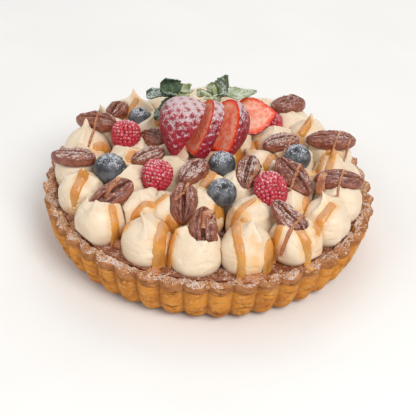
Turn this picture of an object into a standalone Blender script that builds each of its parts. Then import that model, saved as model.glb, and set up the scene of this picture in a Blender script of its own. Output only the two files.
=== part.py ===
# A 20 cm banana caramel tart: a fluted shortcrust shell filled with caramel, covered with
# piped cream kisses, caramel drizzle, pecan halves, blueberries, raspberries and strawberries.
# Sizes are in millimetres until a mesh is finished, then in metres. The tart's middle is the
# origin, on the surface it stands on, with +Z up and the front towards -Y.

import math
import random

import bmesh
import bpy
from mathutils import Matrix, Vector, noise
from mathutils.bvhtree import BVHTree

MM = 0.001
GAP = 0.3  # kept between pieces that touch

# The shell
FLUTES = 44
POINTS_PER_FLUTE = 3
FLUTE_TURN = 1.8  # degrees, so that a valley faces the front as in the real shell
RIM_REACH = 100.0
RIM_HEIGHT = 30.5
BASE_REACH = 87.5
FLUTE_DEPTH = 3.6
FLOOR_THICKNESS = 5.0
INNER_REACH = 91.5  # inner edge of the rim
INNER_BASE_REACH = 85.0
ROUGHNESS = 1.0  # how far the baked rim wanders

# The caramel and the cream
CARAMEL_LEVEL = 28.0
CREAM_BASE = CARAMEL_LEVEL + GAP
CREAM_LIMIT = 89.6  # the cream stays inside the rim, and bulges a little over it
CREAM_BULGE = 3.0
BULGE_HEIGHT = 4.0
KISS_HEIGHT = 24.5
KISS_WIDTH = 30.0
KISS_PROFILE = (  # share of the half width, share of the height
    (0.84, 0.00),
    (1.00, 0.30),
    (0.86, 0.60),
    (0.50, 0.82),
    (0.17, 0.92),
)
LOW_KISS_PROFILE = ((0.86, 0.00), (1.00, 0.34), (0.80, 0.68), (0.34, 0.88))
HIDDEN_KISS_PROFILE = ((0.90, 0.00), (1.00, 0.40), (0.66, 0.80))

# Kisses as azimuth in degrees and reach from the middle
OUTER_RING = (
    (-94, 75), (-73, 75), (-51, 79), (-32, 79), (-15, 78), (3, 76), (20, 78),
    (34, 73), (49, 76), (64, 76), (80, 76), (96, 76), (113, 76), (131, 74.5),
    (150, 77), (166, 78), (182, 78), (200, 78), (221, 79), (245, 76),
)
SECOND_RING = (
    ((-61, 52), (-36, 57), (-11, 52)),
    ((14, 50), (40, 50), (66, 50)),
    ((89, 50), (112, 52), (134, 53)),
    ((158, 50), (181, 48), (205, 50)),
    ((229, 57), (246, 50), (264, 42)),
)
MIDDLE = ((8, 30), (60, 26), (112, 26), (160, 24), (205, 24), (255, 21), (310, 26), (0, 3))

# Caramel drizzle as plan points, and the width of each band
DRIZZLE_WIDTH = 4.6
DRIZZLE_RISE = 1.1
DRIZZLE_STEP = 3.6
DRIZZLE = (
    ((-70, -25), (-75, -38)),
    ((-53, -55), (-50, -64)),
    ((-24, -47), (-32, -50), (-40, -57), (-43, -67)),
    ((-16, -60), (-21, -64), (-23, -77)),
    ((-48, 57), (-54, 46)),
    ((-62, 15), (-71, 9)),
    ((20, -57), (16, -72), (17, -82)),
    ((41, -62), (36, -72)),
    ((70, -41), (66, -49), (62, -56)),
    ((57, -30), (55, -43)),
    ((26, -44), (21, -49), (14, -53)),
    ((60, 41), (54, 29)),
    ((75, 13), (70, -4)),
)

# Blueberries: place of the middle, width, lean of the crown away from straight up
BLUEBERRIES = (
    ((-45.7, 42.4, 47.0), 14.0, (0.2, -0.1)),
    ((-57.7, -17.4, 48.0), 19.5, (0.5, 0.6)),
    ((6.8, -10.2, 51.0), 16.4, (-0.3, 0.3)),
    ((7.6, -36.5, 49.0), 16.9, (0.2, -0.5)),
    ((51.1, 3.4, 49.5), 17.0, (-0.2, -0.4)),
)

# Raspberries: place of the middle, width, length, heading and pitch of the axis
RASPBERRIES = (
    ((-51.9, 17.6, 49.5), 18.5, 19.0, 90, 60),
    ((-30.1, -24.8, 50.0), 18.5, 20.0, 75, 50),
    ((35.2, -33.4, 49.5), 19.4, 24.0, 105, 32),
    ((34.2, 47.4, 43.6), 19.5, 20.5, 80, 50),
)

# Pecan halves: place of the middle, heading, pitch, roll, length, width
PECANS = (
    ((-71.4, 31.6, 48.5), -9, 0, 8, 26.0, 14.5),
    ((-80.5, -7.5, 47.0), -8, 4, -6, 27.5, 15.0),
    ((-54.4, -44.3, 47.5), 32, 22, 18, 29.0, 15.5),
    ((-36.5, -4.0, 48.0), 32, 6, 0, 21.5, 13.5),
    ((-34.0, 19.2, 46.0), -25, 0, 0, 21.0, 14.0),
    ((-13.6, -48.5, 48.5), 90, 24, 4, 26.5, 15.5),
    ((-9.0, -21.0, 51.0), 58, 6, -10, 23.0, 15.0),
    ((-1.9, -69.9, 47.0), -88, -40, 0, 26.0, 16.0),
    ((22.2, -17.2, 50.0), 79, 18, 0, 25.0, 14.0),
    ((42.3, 18.7, 48.5), 17, 3, 0, 23.0, 14.5),
    ((48.2, -17.8, 49.5), -54, -14, 0, 31.0, 17.0),
    ((72.7, 23.5, 49.5), 2, 0, 4, 30.5, 14.5),
    ((75.0, -18.0, 48.5), 5, -6, 6, 29.5, 14.5),
    ((44.6, -57.4, 47.5), -40, -28, 0, 27.0, 15.0),
    ((47.5, 63.5, 49.0), 24, 0, 0, 24.0, 15.0),
    ((-61.0, 48.0, 46.5), 70, 0, 0, 20.0, 13.0),
)
PECAN_HEIGHT = 9.5

# The fanned strawberry and the half beside it
STRAWBERRY_PROFILE = (  # share of the length from the calyx, share of the half width
    (0.00, 0.42), (0.09, 0.82), (0.26, 1.00), (0.47, 0.94), (0.68, 0.72), (0.87, 0.38),
)
# name, half width, calyx end, tip, direction across the slices, where across it is cut
STRAWBERRIES = (
    ("strawberry_slice_left", 17.5, (-11.5, 25.0, 69.0), (-21.5, -5.0, 50.5), (0.86, 0.22, -0.46), (-30.0, 0.6)),
    ("strawberry_slice_middle", 18.0, (-4.5, 26.0, 67.5), (-6.0, -6.0, 50.5), (0.86, 0.30, -0.41), (-3.8, 3.2)),
    ("strawberry_slice_right", 17.0, (3.0, 28.5, 66.0), (12.0, -1.0, 51.5), (0.72, 0.47, -0.51), (-2.0, 30.0)),
    ("strawberry_slice_far", 12.5, (16.2, 33.3, 57.8), (38.9, 40.2, 58.0), (0.0, 0.64, -0.77), (0.4, 4.6)),
)

# Sepals of each calyx: name, hub, then direction, length, width and droop of each
CALYXES = (
    ("calyx_left", (-22.5, 37.0, 68.0), (
        ((-0.47, -0.15, 0.87), 13.0, 12.0, 0.05),
        ((-0.96, 0.24, -0.10), 18.0, 11.0, 0.10),
        ((-0.70, -0.35, 0.40), 12.0, 12.0, -0.10),
        ((-0.62, -0.56, -0.55), 18.0, 8.0, 0.05),
        ((0.55, 0.30, 0.45), 9.0, 9.0, 0.20),
    )),
    ("calyx_right", (1.5, 31.0, 71.0), (
        ((0.50, 0.20, 0.84), 14.0, 13.0, -0.10),
        ((0.90, 0.42, 0.02), 25.0, 10.0, 0.05),
        ((-0.92, 0.30, 0.15), 11.0, 9.0, 0.15),
        ((-0.30, 0.60, 0.50), 9.0, 9.0, 0.30),
        ((0.40, 0.85, 0.10), 11.0, 8.0, 0.30),
    )),
)
SEPAL_THICKNESS = 1.0


def clear_scene():
    for obj in list(bpy.data.objects):
        bpy.data.objects.remove(obj, do_unlink=True)


def make_material(name, colour, roughness):
    material = bpy.data.materials.new(name)
    material.use_nodes = True
    shader = material.node_tree.nodes["Principled BSDF"]
    shader.inputs["Base Color"].default_value = (*colour, 1.0)
    shader.inputs["Roughness"].default_value = roughness
    shader.inputs["Metallic"].default_value = 0.0
    material.diffuse_color = (*colour, 1.0)
    return material


def ring_stack(segments, rings, place, first_tip, last_tip):
    """A closed body of stacked rings: place gives a ring's points by ring number and turn."""
    bm = bmesh.new()
    turn = bm.verts.layers.float.new("turn")
    bmesh.ops.create_circle(bm, cap_ends=True, segments=segments, radius=1.0)
    for vert in bm.verts:
        vert[turn] = math.atan2(vert.co.y, vert.co.x)
        vert.co = place(0, vert[turn])
    bm.faces.ensure_lookup_table()
    bottom = bm.faces[0]
    top = bottom
    for ring in range(1, rings):
        below = top
        made = bmesh.ops.extrude_face_region(bm, geom=[below])["geom"]
        top = next(item for item in made if isinstance(item, bmesh.types.BMFace))
        if below != bottom:
            bmesh.ops.delete(bm, geom=[below], context="FACES_ONLY")
        for vert in top.verts:
            vert.co = place(ring, vert[turn])
    for face, tip in ((bottom, first_tip), (top, last_tip)):
        middle = bmesh.ops.poke(bm, faces=[face])["verts"][0]
        middle.co = tip
    bmesh.ops.recalc_face_normals(bm, faces=bm.faces)
    return bm


def add_object(name, bm, material, place=None):
    """Turns a mesh in millimetres into an object in metres, placed by a matrix in millimetres."""
    bmesh.ops.scale(bm, vec=(MM, MM, MM), verts=bm.verts)
    mesh = bpy.data.meshes.new(name)
    bm.to_mesh(mesh)
    bm.free()
    mesh.materials.append(material)
    mesh.shade_smooth()
    obj = bpy.data.objects.new(name, mesh)
    bpy.context.scene.collection.objects.link(obj)
    if place is not None:
        obj.location = place.to_translation() * MM
        obj.rotation_euler = place.to_euler()
    return obj


def frame_along(middle, heading, pitch, roll=0.0):
    """Local X runs along the heading, raised by the pitch."""
    turn = Matrix.Rotation(math.radians(heading), 4, "Z")
    raise_end = Matrix.Rotation(-math.radians(pitch), 4, "Y")
    twist = Matrix.Rotation(math.radians(roll), 4, "X")
    return Matrix.Translation(Vector(middle)) @ turn @ raise_end @ twist


def make_crust(material):
    rows = (  # reach, height, share of the flute depth, share of the roughness
        (BASE_REACH, 0.0, 0.80, 0.0),
        (BASE_REACH + 5.0, 4.5, 0.90, 0.2),
        (RIM_REACH - 3.0, 16.0, 0.95, 0.4),
        (RIM_REACH - 1.4, RIM_HEIGHT - 4.5, 1.00, 0.6),
        (RIM_REACH, RIM_HEIGHT - 1.8, 1.00, 0.5),
        (RIM_REACH - 4.0, RIM_HEIGHT, 0.55, 1.0),
        (INNER_REACH, RIM_HEIGHT - 1.4, 0.0, 0.9),
        (INNER_BASE_REACH, FLOOR_THICKNESS, 0.0, 0.0),
    )

    def place(ring, turn):
        reach, height, flute, rough = rows[ring]
        wave = abs(math.sin(turn * FLUTES / 2))
        reach -= FLUTE_DEPTH * flute * (1 - wave)
        spot = Vector((math.cos(turn) * 9, math.sin(turn) * 9, ring * 3.1))
        wander = noise.noise(spot) * ROUGHNESS * rough
        if ring < 5:
            reach -= abs(wander)
        else:
            reach += wander * 0.6
            height += wander
        return Vector((math.cos(turn) * reach, math.sin(turn) * reach, height))

    floor = Vector((0, 0, FLOOR_THICKNESS))
    points = FLUTES * POINTS_PER_FLUTE
    bm = ring_stack(points, len(rows), place, Vector((0, 0, 0)), floor)
    return add_object("crust", bm, material, Matrix.Rotation(math.radians(FLUTE_TURN), 4, "Z"))


def make_caramel(material):
    slope = (INNER_REACH - INNER_BASE_REACH) / (RIM_HEIGHT - 1.4 - FLOOR_THICKNESS)
    bottom = FLOOR_THICKNESS + GAP
    rows = (
        (INNER_BASE_REACH - 1.5 * GAP, bottom),
        (INNER_BASE_REACH + slope * (CARAMEL_LEVEL - FLOOR_THICKNESS) - 4 * GAP, CARAMEL_LEVEL),
    )

    def place(ring, turn):
        reach, height = rows[ring]
        return Vector((math.cos(turn) * reach, math.sin(turn) * reach, height))

    bm = ring_stack(FLUTES, 2, place, Vector((0, 0, bottom)), Vector((0, 0, CARAMEL_LEVEL)))
    return add_object("caramel_filling", bm, material)


def kiss_spot(azimuth, reach):
    angle = math.radians(azimuth)
    return Vector((math.cos(angle) * reach, math.sin(angle) * reach, 0))


def stay_in_cell(point, own, others):
    """Keeps a point of one kiss on its own side of its neighbours and inside the rim."""
    flat = Vector((point.x, point.y, 0))
    for _ in range(2):
        for other in others:
            across = other - own
            reach = across.length / 2 - GAP / 2
            across.normalize()
            over = (flat - own).dot(across) - reach
            if over > 0:
                flat -= across * over
    rise = min(max((point.z - CREAM_BASE) / BULGE_HEIGHT, 0), 1)
    limit = CREAM_LIMIT + CREAM_BULGE * rise
    if flat.length > limit:
        flat *= limit / flat.length
    return Vector((flat.x, flat.y, point.z))


def kiss_mesh(spot, others, draw, profile, segments):
    """One piped kiss: a full dome drawn up to a peak that leans a little."""
    half = KISS_WIDTH / 2 * draw.uniform(0.96, 1.04)
    height = KISS_HEIGHT * draw.uniform(0.95, 1.05)
    lean = Vector((draw.uniform(-2.0, 2.0), draw.uniform(-2.0, 2.0), 0))
    squash = draw.uniform(-0.04, 0.04)

    def place(ring, turn):
        width, rise = profile[ring]
        across = Vector((math.cos(turn) * (1 + squash), math.sin(turn) * (1 - squash), 0))
        point = spot + across * half * width + lean * rise**3
        point.z = CREAM_BASE + rise * height
        return stay_in_cell(point, spot, others)

    peak = spot + lean + Vector((0, 0, CREAM_BASE + height))
    base = spot + Vector((0, 0, CREAM_BASE))
    return ring_stack(segments, len(profile), place, base, peak)


def band_mesh(path, surface, spot, others):
    """One band of drizzle that lies on the cream, half sunk in it."""
    stations = []
    for point in path:
        hit, normal, _, _ = surface.ray_cast(Vector((point.x, point.y, 90)), Vector((0, 0, -1)))
        if hit is not None:
            stations.append((hit, normal))
    if len(stations) < 3:
        return None

    def place(ring, turn):
        here, normal = stations[ring]
        before = stations[max(ring - 1, 0)][0]
        after = stations[min(ring + 1, len(stations) - 1)][0]
        side = (after - before).cross(normal).normalized()
        end = 0.55 if ring in (0, len(stations) - 1) else 1.0
        point = here + side * math.cos(turn) * DRIZZLE_WIDTH / 2 * end
        point += normal * math.sin(turn) * DRIZZLE_RISE * end
        return stay_in_cell(point, spot, others)

    return ring_stack(5, len(stations), place, stations[0][0], stations[-1][0])


def walk(path, step):
    """Points at even steps along a broken line in plan."""
    points = []
    for start, end in zip(path, path[1:]):
        start = Vector((*start, 0))
        end = Vector((*end, 0))
        count = max(1, round((end - start).length / step))
        points += [start.lerp(end, number / count) for number in range(count)]
    points.append(Vector((*path[-1], 0)))
    return points


def bake_boolean(obj, helpers, operation, solver="EXACT"):
    """Applies one Boolean on a collection of helpers, which are then removed."""
    group = bpy.data.collections.new("helpers")
    bpy.context.scene.collection.children.link(group)
    for helper in helpers:
        bpy.context.scene.collection.objects.unlink(helper)
        group.objects.link(helper)
    modifier = obj.modifiers.new("join", "BOOLEAN")
    modifier.operand_type = "COLLECTION"
    modifier.collection = group
    modifier.operation = operation
    modifier.solver = solver
    bpy.context.view_layer.update()
    graph = bpy.context.evaluated_depsgraph_get()
    baked = bpy.data.meshes.new_from_object(obj.evaluated_get(graph))
    obj.modifiers.clear()
    old = obj.data
    obj.data = baked
    bpy.data.meshes.remove(old)
    for helper in helpers:
        bpy.data.objects.remove(helper, do_unlink=True)
    bpy.data.collections.remove(group)


def keep_largest(obj):
    """Drops scraps that a cut leaves loose, and merges points that it leaves together."""
    bm = bmesh.new()
    bm.from_mesh(obj.data)
    bmesh.ops.remove_doubles(bm, verts=bm.verts, dist=0.004 * MM)
    bm.verts.ensure_lookup_table()
    unseen = set(bm.verts)
    bodies = []
    while unseen:
        queue = [unseen.pop()]
        body = set(queue)
        while queue:
            for edge in queue.pop().link_edges:
                for vert in edge.verts:
                    if vert in unseen:
                        unseen.remove(vert)
                        body.add(vert)
                        queue.append(vert)
        bodies.append(body)
    bodies.sort(key=len)
    for body in bodies[:-1]:
        bmesh.ops.delete(bm, geom=list(body), context="VERTS")
    bmesh.ops.recalc_face_normals(bm, faces=bm.faces)
    bm.to_mesh(obj.data)
    bm.free()
    obj.data.shade_smooth()


def cutter_from(topping, material):
    """The room that a pressed-in topping needs: flat planes just clear of it, open to the top."""
    points = [topping.matrix_world @ vert.co / MM for vert in topping.data.vertices]
    heading = topping.matrix_world.to_euler().z
    planes = [Vector((0, 0, -1))]
    for eighth in range(8):
        angle = heading + eighth * math.tau / 8
        outward = Vector((math.cos(angle), math.sin(angle), 0))
        planes.append(outward)
        planes.append((outward - Vector((0, 0, 1))).normalized())
    bm = bmesh.new()
    bmesh.ops.create_cube(bm, size=120, matrix=Matrix.Translation(sum(points, Vector()) / len(points)))
    for plane in planes:
        reach = max(point.dot(plane) for point in points) + GAP
        geometry = list(bm.verts) + list(bm.edges) + list(bm.faces)
        bmesh.ops.bisect_plane(
            bm, geom=geometry, plane_co=plane * reach, plane_no=plane, clear_outer=True,
        )
        bmesh.ops.holes_fill(bm, edges=[edge for edge in bm.edges if edge.is_boundary], sides=0)
    bmesh.ops.recalc_face_normals(bm, faces=bm.faces)
    return add_object(topping.name + "_cutter", bm, material)


def box_of(obj):
    corners = [obj.matrix_world @ Vector(corner) for corner in obj.bound_box]
    low = Vector([min(c[axis] for c in corners) for axis in range(3)])
    high = Vector([max(c[axis] for c in corners) for axis in range(3)])
    return low, high


def meet(one, two):
    low_one, high_one = box_of(one)
    low_two, high_two = box_of(two)
    return all(low_one[a] < high_two[a] and low_two[a] < high_one[a] for a in range(3))


def make_cream(name, members, everyone, draw, profile, segments, toppings, material):
    """One node of cream: its kisses and their drizzle joined, with room for the toppings."""
    pieces = []
    bands = []
    for spot in members:
        others = [other for other in everyone if other not in members and 0 < (other - spot).length < 45]
        bm = kiss_mesh(spot, others, draw, profile, segments)
        surface = BVHTree.FromBMesh(bm)
        for path in DRIZZLE:
            mine = [
                point for point in walk(path, DRIZZLE_STEP)
                if min(everyone, key=lambda other: (other - point).length) == spot
            ]
            band = band_mesh(mine, surface, spot, others)
            if band is not None:
                bands.append(add_object(f"{name}_band", band, material))
        pieces.append(add_object(name, bm, material))
    cream = pieces[0]
    if len(pieces) > 1 or bands:
        bake_boolean(cream, pieces[1:] + bands, "UNION")
    near = [topping for topping in toppings if meet(cream, topping)]
    if near:
        bake_boolean(cream, [cutter_from(topping, material) for topping in near], "DIFFERENCE")
    keep_largest(cream)
    return cream


def make_pecan(name, spot, heading, pitch, roll, length, width, draw, material):
    """A shelled half: two ridged lobes along a groove, flat below, blunt at one end."""
    stations = 7
    depth = [draw.uniform(0.90, 1.06) for _ in range(stations)]

    def place(ring, turn):
        along = (ring + 0.35) / (stations - 0.3) * 2 - 1
        taper = (1 - abs(along) ** 2.4) ** 0.62 * (1 + 0.08 * along)
        across = math.cos(turn)
        up = math.sin(turn)
        if up > 0:
            groove = math.exp(-((across / 0.30) ** 2))
            rise = up**0.60 * PECAN_HEIGHT * 0.66 * depth[ring] - groove * 3.4
        else:
            rise = up * PECAN_HEIGHT * 0.38
        return Vector((along * length / 2, across * width / 2 * taper, rise * (0.35 + 0.65 * taper)))

    ends = (Vector((-length / 2, 0, -0.6)), Vector((length / 2, 0, -0.6)))
    bm = ring_stack(8, stations, place, *ends)
    return add_object(name, bm, material, frame_along(spot, heading, pitch, roll))


def make_blueberry(name, spot, width, lean, material):
    """A flattened ball with the ring of its crown round a small dimple."""
    half = width / 2
    rows = 7

    def place(ring, turn):
        if ring == rows - 1:
            return Vector((math.cos(turn) * half * 0.20, math.sin(turn) * half * 0.20, half * 0.86))
        polar = math.pi * (1 - (ring + 0.75) / (rows + 0.35))
        reach = half * math.sin(polar)
        return Vector((math.cos(turn) * reach, math.sin(turn) * reach, half * 0.93 * math.cos(polar)))

    bottom = Vector((0, 0, -half * 0.93))
    bm = ring_stack(10, rows, place, bottom, Vector((0, 0, half * 0.70)))
    axis = Vector((*lean, 1.0)).to_track_quat("Z", "Y").to_matrix().to_4x4()
    return add_object(name, bm, material, Matrix.Translation(Vector(spot)) @ axis)


def make_raspberry(name, spot, width, length, heading, pitch, material):
    """A blunt cone of drupelets, drawn as bumps set alternately from row to row."""
    rows = 9
    segments = 14

    def place(ring, turn):
        polar = math.pi * (ring + 0.7) / (rows + 0.6)
        bump = 1 if (round(turn / math.tau * segments) + ring) % 2 else -1
        out = 1 + 0.045 * bump
        blunt = 1 - 0.10 * math.cos(polar)
        reach = width / 2 * math.sin(polar) ** 0.85 * out * blunt
        return Vector((-math.cos(polar) * length / 2, math.cos(turn) * reach, math.sin(turn) * reach))

    ends = (Vector((-length / 2, 0, 0)), Vector((length / 2, 0, 0)))
    bm = ring_stack(segments, rows, place, *ends)
    return add_object(name, bm, material, frame_along(spot, heading, pitch))


def make_strawberry(name, half_width, calyx_end, tip, across, cuts, skin, flesh):
    """A piece of a strawberry between two flat cuts, hung from its calyx end towards its tip."""
    up = Vector(calyx_end) - Vector(tip)
    length = up.length
    up.normalize()

    def place(ring, turn):
        down, out = STRAWBERRY_PROFILE[ring]
        reach = half_width * out
        return Vector((math.cos(turn) * reach, math.sin(turn) * reach, -down * length))

    top = Vector((0, 0, -0.02 * length))
    end = Vector((0, 0, -length))
    bm = ring_stack(16, len(STRAWBERRY_PROFILE), place, top, end)
    for cut, facing in zip(cuts, (-1, 1)):
        if abs(cut) < half_width:
            geometry = list(bm.verts) + list(bm.edges) + list(bm.faces)
            bmesh.ops.bisect_plane(
                bm, geom=geometry, plane_co=(cut, 0, 0), plane_no=(facing, 0, 0), clear_outer=True,
            )
            rim = [edge for edge in bm.edges if edge.is_boundary]
            for face in bmesh.ops.holes_fill(bm, edges=rim, sides=0)["faces"]:
                face.material_index = 1
    bmesh.ops.triangulate(bm, faces=[face for face in bm.faces if len(face.verts) > 4])
    bmesh.ops.recalc_face_normals(bm, faces=bm.faces)
    side = Vector(across)
    side = (side - up * side.dot(up)).normalized()
    back = up.cross(side)
    turn = Matrix((side, back, up)).transposed().to_4x4()
    for edge in bm.edges:
        edge.smooth = edge.calc_face_angle(0.0) < math.radians(50)
    berry = add_object(name, bm, skin, Matrix.Translation(Vector(calyx_end)) @ turn)
    berry.data.materials.append(flesh)
    return berry


def sepal_mesh(hub, direction, length, width, droop):
    """A thin wavy leaf, both faces split alike, from the hub outwards."""
    bm = bmesh.new()
    bmesh.ops.create_grid(bm, x_segments=4, y_segments=2, size=0.5)
    along = Vector(direction).normalized()
    side = along.cross(Vector((0, 0, 1)))
    if side.length < 0.5:
        side = along.cross(Vector((0, -1, 0)))
    side.normalize()
    lift = side.cross(along)
    start = Vector(hub) + along * 2.0
    for vert in bm.verts:
        far = vert.co.x + 0.5
        wide = vert.co.y * 2
        half = width / 2 * (min(1.0, 0.22 + 2.2 * far) * (1 - far**4) ** 0.5 + 0.10 * far)
        wave = 1.1 * math.sin(far * 7.0 + wide * 1.2) + 1.4 * wide * wide
        bend = -droop * length * far * far + wave
        vert.co = start + along * far * length + side * wide * half + lift * bend
    bmesh.ops.triangulate(bm, faces=bm.faces)
    bmesh.ops.solidify(bm, geom=list(bm.faces), thickness=SEPAL_THICKNESS)
    bmesh.ops.recalc_face_normals(bm, faces=bm.faces)
    return bm


def make_calyx(name, hub, sepals, material):
    """A strawberry's green cap: a small hub with its sepals joined to it."""
    bm = bmesh.new()
    bmesh.ops.create_icosphere(bm, subdivisions=1, radius=3.2, matrix=Matrix.Translation(Vector(hub)))
    cap = add_object(name, bm, material)
    leaves = []
    for direction, length, width, droop in sepals:
        leaf = sepal_mesh(hub, direction, length, width, droop)
        leaves.append(add_object(f"{name}_sepal", leaf, material))
    bake_boolean(cap, leaves, "UNION", "MANIFOLD")
    keep_largest(cap)
    return cap


def make_toppings(materials):
    draw = random.Random(7)
    made = []
    for number, (spot, heading, pitch, roll, length, width) in enumerate(PECANS, 1):
        name = f"pecan_{number:02d}"
        made.append(make_pecan(name, spot, heading, pitch, roll, length, width, draw, materials["pecan"]))
    for number, (spot, width, lean) in enumerate(BLUEBERRIES, 1):
        made.append(make_blueberry(f"blueberry_{number}", spot, width, lean, materials["blueberry"]))
    for number, (spot, width, length, heading, pitch) in enumerate(RASPBERRIES, 1):
        name = f"raspberry_{number}"
        made.append(make_raspberry(name, spot, width, length, heading, pitch, materials["raspberry"]))
    for piece in STRAWBERRIES:
        made.append(make_strawberry(*piece, materials["strawberry"], materials["flesh"]))
    for name, hub, sepals in CALYXES:
        made.append(make_calyx(name, hub, sepals, materials["leaf"]))
    return made


def make_all_cream(toppings, material):
    draw = random.Random(20)
    outer = [kiss_spot(*place) for place in OUTER_RING]
    second = [[kiss_spot(*place) for place in group] for group in SECOND_RING]
    middle = [kiss_spot(*place) for place in MIDDLE]
    everyone = outer + sum(second, []) + middle
    for number, spot in enumerate(outer, 1):
        name = f"cream_kiss_{number:02d}"
        make_cream(name, [spot], everyone, draw, KISS_PROFILE, 10, toppings, material)
    for number, group in enumerate(second, 1):
        name = f"cream_second_ring_{number}"
        make_cream(name, group, everyone, draw, LOW_KISS_PROFILE, 9, toppings, material)
    make_cream("cream_middle", middle, everyone, draw, HIDDEN_KISS_PROFILE, 6, toppings, material)


def main():
    clear_scene()
    materials = {
        "pastry": make_material("shortcrust pastry", (0.46, 0.22, 0.085), 0.75),
        "caramel": make_material("soft caramel", (0.36, 0.13, 0.035), 0.35),
        "cream": make_material("whipped cream", (0.88, 0.78, 0.60), 0.45),
        "pecan": make_material("pecan", (0.22, 0.07, 0.035), 0.45),
        "blueberry": make_material("blueberry skin", (0.045, 0.05, 0.075), 0.6),
        "raspberry": make_material("raspberry", (0.45, 0.02, 0.045), 0.4),
        "strawberry": make_material("strawberry", (0.50, 0.04, 0.03), 0.4),
        "flesh": make_material("strawberry flesh", (0.78, 0.16, 0.08), 0.35),
        "leaf": make_material("strawberry leaf", (0.07, 0.13, 0.06), 0.6),
    }
    make_crust(materials["pastry"])
    make_caramel(materials["caramel"])
    toppings = make_toppings(materials)
    bpy.context.view_layer.update()
    make_all_cream(toppings, materials["cream"])


main()
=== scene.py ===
import math
import random

import bmesh
import bpy
import numpy as np
from mathutils import Matrix, Vector, kdtree, noise
from mathutils.bvhtree import BVHTree


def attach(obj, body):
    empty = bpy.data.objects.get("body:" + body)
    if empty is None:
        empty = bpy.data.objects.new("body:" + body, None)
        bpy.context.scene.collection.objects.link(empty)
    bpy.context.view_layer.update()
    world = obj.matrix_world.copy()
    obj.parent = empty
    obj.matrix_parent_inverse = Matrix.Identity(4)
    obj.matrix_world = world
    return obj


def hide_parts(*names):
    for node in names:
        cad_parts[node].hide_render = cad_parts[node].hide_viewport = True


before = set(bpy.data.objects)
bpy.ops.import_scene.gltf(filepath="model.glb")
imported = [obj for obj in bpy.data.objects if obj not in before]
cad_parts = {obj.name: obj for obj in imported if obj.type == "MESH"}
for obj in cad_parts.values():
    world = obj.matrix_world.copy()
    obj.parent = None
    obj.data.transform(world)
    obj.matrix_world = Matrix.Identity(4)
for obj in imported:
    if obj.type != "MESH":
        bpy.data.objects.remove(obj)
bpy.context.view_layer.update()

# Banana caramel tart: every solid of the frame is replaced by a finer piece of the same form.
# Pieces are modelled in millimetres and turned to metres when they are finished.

mm = 0.001
down = Vector((0, 0, -1))
upwards = Vector((0, 0, 1))
aboveAll = 150     # millimetres, higher than any piece
surfaces = []      # finished shapes in millimetres, for what lies on them

# Materials

def hexColour(code):
    values = [int(code[i:i + 2], 16) / 255 for i in (0, 2, 4)]
    return tuple(v / 12.92 if v <= 0.04045 else ((v + 0.055) / 1.055) ** 2.4 for v in values) + (1.0,)


def addNode(tree, kind, inputs, out=0, **settings):
    # an input is either another node's socket or a plain value; gives back the output that is used
    node = tree.nodes.new("ShaderNode" + kind)
    for name, value in settings.items():
        setattr(node, name, value)
    for name, value in inputs.items():
        if isinstance(value, bpy.types.NodeSocket):
            tree.links.new(value, node.inputs[name])
        else:
            node.inputs[name].default_value = value
    return node.outputs[out]


def newFinish(name, marks=(), **values):
    # marks are the piece's own attributes that the finish reads
    material = bpy.data.materials.new(name)
    material.use_nodes = True
    tree = material.node_tree
    shader = tree.nodes["Principled BSDF"]
    for socket, value in values.items():
        shader.inputs[socket.replace("_", " ")].default_value = value
    coords = addNode(tree, "TexCoord", {}, "Object")
    found = [addNode(tree, "Attribute", {}, "Fac", attribute_name=mark) for mark in marks]
    return material, tree, shader, coords, *found


def glow(weight, depths, scale):
    # light that sinks in, with its depths in millimetres for red, green and blue
    radius = [depth * mm for depth in depths]
    return {"Subsurface_Weight": weight, "Subsurface_Radius": radius, "Subsurface_Scale": scale}


def perMetre(size):
    # noise scale for features of this size in millimetres
    return 1000.0 / size


def mottle(tree, coords, size, low, high, detail=2.0):
    # a soft 0 to 1 pattern of patches of this size in millimetres
    field = addNode(tree, "TexNoise", {"Vector": coords, "Scale": perMetre(size), "Detail": detail})
    return addNode(tree, "MapRange", {0: field, 1: low, 2: high}, interpolation_type="SMOOTHSTEP")


def layOver(tree, cover, share, under, over):
    # lays one colour over another where the cover is, up to this share; colours are hex codes or sockets
    under, over = (hexColour(c) if isinstance(c, str) else c for c in (under, over))
    factor = addNode(tree, "Math", {0: cover, 1: share}, operation="MULTIPLY")
    return addNode(tree, "Mix", {0: factor, 6: under, 7: over}, 2, data_type="RGBA")


def mottled(tree, coords, size, low, high, under, over, detail=2.0):
    return layOver(tree, mottle(tree, coords, size, low, high, detail), 1.0, under, over)


def icingSugar(tree, coords, amount, speck, drift):
    # 0 to 1: more where the surface looks up, in specks and in drifts of these sizes in millimetres
    normal = addNode(tree, "NewGeometry", {}, "Normal")
    height = addNode(tree, "SeparateXYZ", {0: normal}, "Z")
    level = addNode(tree, "MapRange", {0: height, 1: -0.1, 2: 0.9, 4: 0.34})
    for size, detail, weight in ((speck, 3.0, 0.60), (drift, 1.0, 0.30)):
        field = addNode(tree, "TexNoise", {"Vector": coords, "Scale": perMetre(size), "Detail": detail})
        level = addNode(tree, "Math", {0: field, 1: weight, 2: level}, operation="MULTIPLY_ADD")
    edges = {0: level, 1: 0.815 - amount / 2, 2: 0.895 - amount / 2}
    return addNode(tree, "MapRange", edges, interpolation_type="SMOOTHSTEP")


def relief(tree, shader, height, depth):
    # depth in millimetres
    bump = addNode(tree, "Bump", {"Height": height, "Distance": depth * mm, "Strength": 1.0})
    tree.links.new(bump, shader.inputs["Normal"])


def dusted(tree, shader, colour, sugar, share, dust, shine=None):
    # sugar over the colour; shine is the roughness bare and under sugar
    tree.links.new(layOver(tree, sugar, share, colour, dust), shader.inputs["Base Color"])
    if shine:
        rough = addNode(tree, "MapRange", {0: sugar, 3: shine[0], 4: shine[1]})
        tree.links.new(rough, shader.inputs["Roughness"])


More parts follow.
